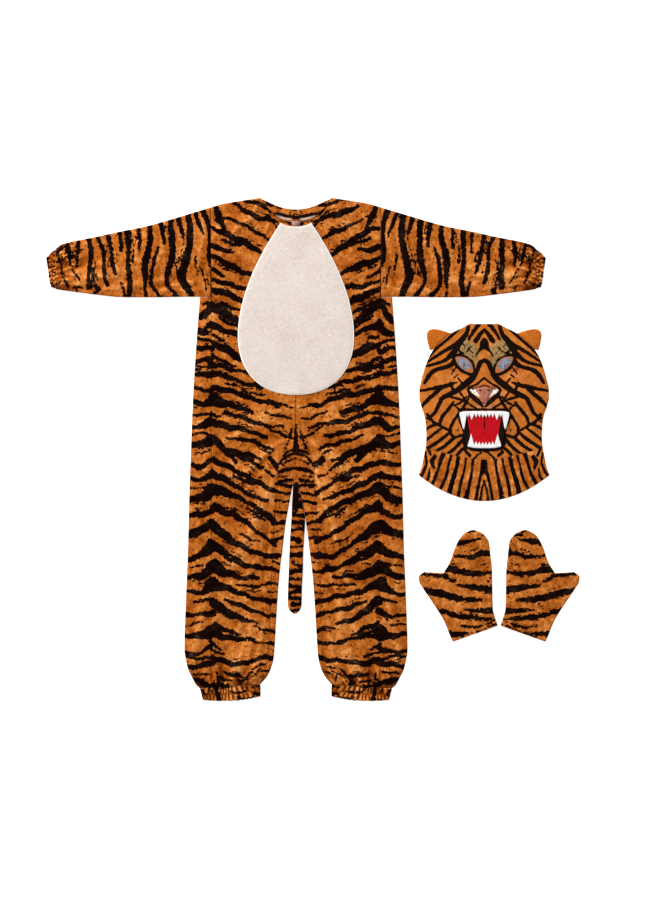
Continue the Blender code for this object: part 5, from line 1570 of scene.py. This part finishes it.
def face_relief(side, reach, drop):
    """Soft rises of the face: brows, cheeks and muzzle, with the scalloped cheek's step."""
    def bump(x, y, wide, tall, height):
        return height * np.exp(-(((reach - x) / wide) ** 2) - ((drop - y) / tall) ** 2)

    lift = bump(34, 52, 26, 18, 1.6) + bump(70, 130, 34, 32, 1.4) + bump(0, 120, 14, 40, 1.6)
    lift += bump(30, 152, 22, 14, 1.3) - bump(56, 96, 14, 10, 1.2) - bump(60, 172, 8, 30, 0.9)
    return lift + creases(GARMENT_CREASES, side, reach, drop)


def upper_height(x, drop, line, loft, relief):
    distance = edge_distance(x, drop, line)
    rise = loft * (1 - np.exp(-((distance / LOFT_RUN) ** 2))) + relief * ease(1, 16, distance)
    return EDGE_RADIUS + np.maximum(HALF_GAP, rounded(distance)) + rise


def under_height(x, drop, line):
    return EDGE_RADIUS - np.maximum(HALF_GAP, rounded(edge_distance(x, drop, line)))


def face_height(x, drop):
    relief = face_relief(np.sign(x), abs(x), drop) + valley(drop - bib_seam(x), *BIB_DIP)
    return upper_height(x, drop, MASK_LINE, MASK_LOFT, relief)


def mask_height(x, drop, is_upper):
    return face_height(x, drop) if is_upper else under_height(x, drop, MASK_LINE)


def fine_shares(count):
    """Shares of the mask's half width, close together at its edges."""
    edge = np.array([1, 0.9975, 0.99, 0.976])
    return np.concatenate([-edge, np.linspace(-0.955, 0.955, count), edge[::-1]])


def eye_curve(side, count, inset=0.0):
    """The eye opening as plan points, from its outer corner over its upper lid."""
    angle = 2 * math.pi * np.arange(count) / count
    lid = np.where(np.sin(angle) > 0, EYE_RISE, EYE_SINK) - inset
    along = (EYE_LENGTH / 2 - inset) * np.cos(angle)
    across = lid * np.sin(angle) * (1 - 0.25 * np.cos(angle) ** 2)
    reach = EYE_PLACE[0] + along * math.cos(EYE_TILT) - across * math.sin(EYE_TILT)
    drop = EYE_PLACE[1] - along * math.sin(EYE_TILT) - across * math.cos(EYE_TILT)
    return side * reach, drop


def inside(x, drop, ring_x, ring_drop):
    """Whether a place lies in a ring of plan points."""
    hit = False
    for k in range(len(ring_x)):
        ax, ay, bx, by = ring_x[k - 1], ring_drop[k - 1], ring_x[k], ring_drop[k]
        if (ay > drop) != (by > drop) and x < ax + (drop - ay) / (by - ay) * (bx - ax):
            hit = not hit
    return hit


def on_mask(point):
    """A mesh point as a place on the mask."""
    return point.x / MM - MASK_PLACE[0], MASK_PLACE[1] - point.y / MM


def cut_eyes(piece):
    """Opens the eyes in the face and draws the opening's edge on to the eye's curve."""
    bm = bmesh.new()
    bm.from_mesh(piece.data)
    for side in SIDES.values():
        ring_x, ring_drop = eye_curve(side, 72)
        doomed = [
            face for face in bm.faces
            if inside(*on_mask(face.calc_center_median()), ring_x, ring_drop)
        ]
        bmesh.ops.delete(bm, geom=doomed, context="FACES")
        for vertex in bm.verts:
            x, drop = on_mask(vertex.co)
            away = math.hypot(x - side * EYE_PLACE[0], drop - EYE_PLACE[1])
            if vertex.is_boundary and away < EYE_LENGTH * 0.75:
                k = int(np.argmin(np.hypot(ring_x - x, ring_drop - drop)))
                vertex.co.x = (MASK_PLACE[0] + ring_x[k]) * MM
                vertex.co.y = (MASK_PLACE[1] - ring_drop[k]) * MM
    bmesh.ops.dissolve_degenerate(bm, edges=bm.edges, dist=0.05 * MM)
    bm.to_mesh(piece.data)
    bm.free()


def above_bib(gap, is_upper):
    """Places on the mask in rows that are level at the crown and follow the bib's seam below."""
    def put(u, w):
        drop = mix(w, seam_drop(u, gap), ease(CROWN, FACE_FOOT, w))
        x = u * MASK("half", drop)
        return x, drop, mask_height(x, drop, is_upper)
    return put


def make_face():
    rows = stations((0, 2, 0.5), (2, FACE_FOOT, 1.9))

    # Painted light: highlights on the face's rises and shade in its dips.
    def ridge(side, reach, drop, _):
        return 0.2 * face_relief(side, reach, drop)

    piece = cloth(
        "mask_face", [(fine_shares(131), rows, above_bib(-HALF_SLIT, True))], MASK_PLACE, 1,
        "face_plush", ridge=ridge,
    )
    cut_eyes(piece)
    _, reach, drop = spots_of(piece, MASK_PLACE)
    spots = np.stack([reach, drop], axis=1)
    lids = list(zip(*eye_curve(1, 40, -1.6)))
    liner = [
        (x, y, LOWER_LINER if k > 20 else UPPER_LINER)
        for k, (x, y) in enumerate([*lids, lids[0]])
    ]
    dots = [np.hypot(reach - x, drop - y) - size / 2 for x, y, size in FACE_DOTS]
    black = np.minimum(stroke_distance(spots, [*FACE_STRIPES, liner]), np.min(dots, axis=0))
    prints = {"tan": BROW_PATCH, "white": MUZZLE_WHITE, "rust": NOSE_BRIDGE, "pink": LIP}
    tints = {name: stroke_distance(spots, strokes) for name, strokes in prints.items()}
    store(piece, stripe=black, **tints)


def make_mask_back():
    rows = stations((0, 2, 0.5), (2, 20, 3), (20, FACE_FOOT, 8))
    put = above_bib(-HALF_SLIT - BACK_SHIFT, False)
    strokes = [
        [(0, 20 + 22 * k, 6 + 3 * (k % 2)), (50, 30 + 22 * k, 9), (128, 12 + 23 * k, 8)]
        for k in range(11)
    ]
    cloth("mask_back", [(fine_shares(41), rows, put)], MASK_PLACE, -1, "bib_plush", strokes=strokes)


def make_bib(node, is_upper):
    across, step, shift, facing = (131, 0.022, 0, 1) if is_upper else (41, 0.1, BACK_SHIFT, -1)

    def put(u, w):
        drop = mix(
            seam_drop(u, HALF_SLIT - shift), mix(MASK_HEM_MIDDLE, MASK_HEM_CORNER, u * u), w)
        x = u * MASK("half", drop)
        return x, drop, mask_height(x, drop, is_upper)

    # Painted light: the bib a little lighter all over, with painted highlights on its creases'
    # crests and painted shade in their dips.
    def ridge(side, reach, drop, _):
        return 0.3 + 0.4 * creases(GARMENT_CREASES, side, reach, drop)

    cloth(
        node, [(fine_shares(across), stations((0, 1, step)), put)], MASK_PLACE, facing,
        "bib_plush", strokes=BIB_STRIPES, ridge=ridge, waver=BIB_WAVER,
    )


def make_felt(node, look, across, along, put, level, puff, strokes=()):
    """A flat piece of felt on the face, a little plumper in its middle."""
    def on_face(u, w):
        x, drop = put(u, w)
        z = face_height(x, drop) + SEAM_GAP + level * (FELT + SEAM_GAP) + FELT
        down = abs(2 * (w - along[0]) / (along[-1] - along[0]) - 1)
        edge = np.minimum(1 - down, 1 - abs(u / across[-1]))
        return x, drop, z + puff * ease(0, 0.4, edge)

    cloth(
        node, [(across, along, on_face)], MASK_PLACE, 1, look, wall=FELT,
        strokes=strokes,
    )


def make_rounded_felt(node, look, profile, column, drops, columns, level, puff, strokes=()):
    """Felt whose half width a profile gives at each drop."""
    make_felt(
        node, look, np.linspace(-1, 1, columns), stations(drops),
        lambda u, w: (u * profile(column, w), w), level, puff, strokes,
    )


def tips(teeth, x):
    return np.interp(abs(x), teeth.column("reach"), teeth.column("tip"))


def upper_ends(x):
    """Head and foot of the upper teeth."""
    return MOUTH_TOP + 0.6 + 3 * (abs(x) / 50) ** 8, tips(UPPER_TEETH, x)


def lower_ends(x):
    """Head and foot of the lower teeth."""
    return tips(LOWER_TEETH, x), LOWER_GUM - 4 * (abs(x) / 33.5) ** 4


def make_teeth(node, teeth, columns, ends):
    reach = teeth.column("reach")
    even = np.linspace(-reach[-1], reach[-1], columns)
    across = np.unique(np.concatenate([-reach, reach, even]))

    def put(u, w):
        head, foot = ends(u)
        return u, mix(head, foot, w)

    make_felt(node, "white_felt", across, stations((0, 1, 0.1)), put, 2, 0.8)


def make_mouth_and_nose():
    make_rounded_felt(
        "mouth_lining", "black_felt", MOUTH, "lining", (MOUTH_TOP, MOUTH_FOOT, 2.5), 41, 0, 0.2)
    make_rounded_felt(
        "tongue", "red_felt", MOUTH, "tongue", (*TONGUE_ENDS, 2.5), 41, 1, 0.5, TONGUE_LINE)
    make_teeth("upper_teeth", UPPER_TEETH, 81, upper_ends)
    make_teeth("lower_teeth", LOWER_TEETH, 61, lower_ends)
    make_rounded_felt(
        "nose", "nose_felt", NOSE, "half", (*NOSE_ENDS, 2), 21, 0, 1.4, NOSE_LINES)


def make_eye_net(node, side):
    """The net behind an eye opening, bulging a little through it."""
    ring_x, ring_drop = eye_curve(side, EYE_POINTS, 0.4)

    def put(u, w):
        k = np.rint(u * EYE_POINTS).astype(int) % EYE_POINTS
        x = mix(side * EYE_PLACE[0], ring_x[k], w)
        drop = mix(EYE_PLACE[1], ring_drop[k], w)
        return x, drop, face_height(x, drop) - 0.7 + 1.2 * (1 - w * w)

    patch = (stations((0, 1, 1 / EYE_POINTS)), stations((1, 0, 0.12)), put)
    piece = cloth(
        node, [patch], MASK_PLACE, 1, "eye_net", wall=NET_WALL,
        strokes=EYE_SLIT,
    )
    _, reach, drop = spots_of(piece, MASK_PLACE)
    away_x, away_y = reach - EYE_PLACE[0], drop - EYE_PLACE[1]
    along = away_x * math.cos(EYE_TILT) - away_y * math.sin(EYE_TILT)
    rim = np.min([np.hypot(reach - x, drop - y) for x, y in zip(*eye_curve(1, 60))], axis=0)
    store(piece, corner=np.maximum(along - 16.5, -12.5 - along), rim=rim)


def make_ear(node, side):
    """A soft ear: its solid, tucked into the mask's edge and rounded."""
    bm = merged_solid(node)
    tuck = (-side * EAR_TUCK * MM, -EAR_TUCK * MM, 0)
    bmesh.ops.translate(bm, verts=bm.verts, vec=tuck)
    bmesh.ops.join_triangles(
        bm, faces=bm.faces, angle_face_threshold=math.radians(30),
        angle_shape_threshold=math.radians(60),
    )
    piece = new_piece(node, bm, "ear_plush")
    rounder = piece.modifiers.new("soft", "SUBSURF")
    rounder.levels = 2
    rounder.render_levels = 2


# The mitts: a back and a palm each, sewn together round an outline


def mitt_line():
    """The mitt's outline: up the thumb, over the hand and down to the cuff."""
    thumb = np.linspace(THUMB_FOOT, THUMB_HEAD, 60)
    hand = THUMB_ROOT[1] * (np.arange(61) / 60) ** 2
    cuff = np.linspace(THUMB_ROOT[1], CUFF_OUTER[1], 60)[1:]
    return [
        CUFF_INNER, *zip(THUMB("outer", thumb), thumb), *zip(HAND("inner", hand[::-1]), hand[::-1]),
        *zip(HAND("outer", hand), hand), *zip(HAND("outer", cuff), cuff),
    ]


MITT_LINE = mitt_line()


def mix_spots(a, b, share):
    """A place on the way from one spot to another."""
    return mix(a[0], b[0], share), mix(a[1], b[1], share)


def make_mitt(node, side, is_upper, garment):
    """One layer of a mitt: the hand, the cuff and the thumb, as three grids that meet."""
    step, columns, facing = (2.4, 34, 1) if is_upper else (6, 12, -1)
    edge = np.array([0, 0.008, 0.025, 0.06])
    shares = np.concatenate([edge, np.linspace(0.1, 0.9, columns), 1 - edge[::-1]])
    down = stations((0, 1, step / 120))

    def put_on(x, drop):
        if is_upper:
            relief = creases(MITT_CREASES, side, x, drop)
            return side * -x, drop, upper_height(x, drop, MITT_LINE, MITT_LOFT, relief)
        return side * -x, drop, under_height(x, drop, MITT_LINE)

    def cuff_inner(w):
        return mix_spots(THUMB_ROOT, CUFF_INNER, w)

    def put_hand(u, w):
        return put_on(mix(HAND("inner", w), HAND("outer", w), u), w)

    def put_cuff(u, w):
        drop = mix(THUMB_ROOT[1], CUFF_OUTER[1], w)
        return put_on(*mix_spots(cuff_inner(w), (HAND("outer", drop), drop), u))

    def put_thumb(u, w):
        root = cuff_inner(w)
        head = mix(THUMB_HEAD, THUMB_FOOT, w**1.25)
        x = np.where(w >= 1, root[0], THUMB("outer", head))
        return put_on(*mix_spots((x, np.where(w >= 1, root[1], head)), root, u))

    hand = stations((0, 2, 0.5), (2, THUMB_ROOT[1], step))
    patches = [(shares, hand, put_hand), (shares, down, put_cuff), (shares, down, put_thumb)]
    piece = cloth(node, patches, garment, facing, "mitt_plush")
    side_of, reach, drop = spots_of(piece, garment)
    x = -side * side_of * reach
    slope = (CUFF_OUTER[1] - CUFF_INNER[1]) / (CUFF_OUTER[0] - CUFF_INNER[0])
    hem = CUFF_INNER[1] + slope * (x - CUFF_INNER[0]) - MITT_HEM
    # An even painted light of 0.3 paints the whole mitt a little lighter.
    store(
        piece, stripe=stroke_distance(np.stack([x, drop], axis=1), MITT_STRIPES),
        seam=abs((hem - drop) * MITT_HEM_LEAN) + 0.4, ridge=np.full(len(x), 0.3),
    )


# The stage


def make_stage():
    bm = bmesh.new()
    bmesh.ops.create_grid(bm, x_segments=1, y_segments=1, size=FLOOR_HALF)
    bmesh.ops.translate(bm, verts=bm.verts, vec=(0, 0, -FLOOR_SINK * MM))
    mesh = bpy.data.meshes.new("floor")
    bm.to_mesh(mesh)
    bm.free()
    material = bpy.data.materials.new("floor")
    material.use_nodes = True
    shader = material.node_tree.nodes["Principled BSDF"]
    shader.inputs["Base Color"].default_value = (0.95, 0.95, 0.95, 1)
    shader.inputs["Roughness"].default_value = 0.9
    shader.inputs["Emission Color"].default_value = WHITE
    shader.inputs["Emission Strength"].default_value = 0.62
    mesh.materials.append(material)
    add("floor", mesh)


def make_lights():
    world = bpy.data.worlds.new("studio")
    world.use_nodes = True
    background = world.node_tree.nodes["Background"]
    background.inputs["Color"].default_value = WHITE
    background.inputs["Strength"].default_value = 0.42
    bpy.context.scene.world = world
    for name, place, size, power in LAMPS:
        data = bpy.data.lights.new(name, "AREA")
        data.size = size
        data.energy = power
        lamp = add(name, data)
        lamp.location = place
        lamp.rotation_euler = (-Vector(place)).to_track_quat("-Z", "Y").to_euler()
    bpy.context.scene.view_settings.view_transform = "Standard"


def make_camera():
    """Straight above the layout, over the middle of the picture."""
    data = bpy.data.cameras.new("camera")
    data.lens = LENS
    camera = add("camera", data)
    x, y = SUIT_PLACE[0] + PICTURE_MIDDLE[0], SUIT_PLACE[1] - PICTURE_MIDDLE[1]
    camera.location = (x * MM, y * MM, PICTURE_HEIGHT * data.lens / data.sensor_width)
    bpy.context.scene.camera = camera


def main():
    make_camera()
    for name, side in SIDES.items():
        make_front(f"front_{name}", side)
        make_back(f"back_{name}", side)
        make_sleeve(f"sleeve_{name}", side)
        make_casing(
            f"wrist_casing_{name}", side, WRIST, WRIST_GATHERS, WRIST_STRIPES, wrist_seam)
        make_casing(
            f"ankle_casing_{name}", side, ANKLE, ANKLE_GATHERS, ANKLE_STRIPES, ankle_seam)
        make_eye_net(f"eye_net_{name}", side)
        make_ear(f"ear_{name}", side)
        make_mitt(f"mitt_back_{name}", side, True, MITT_PLACES[name])
        make_mitt(f"mitt_palm_{name}", side, False, MITT_PLACES[name])
    make_gusset()
    make_facing()
    make_label()
    make_belly()
    make_tail()
    make_face()
    make_mask_back()
    make_bib("bib_front", True)
    make_bib("bib_back", False)
    make_mouth_and_nose()
    make_stage()
    make_lights()


main()
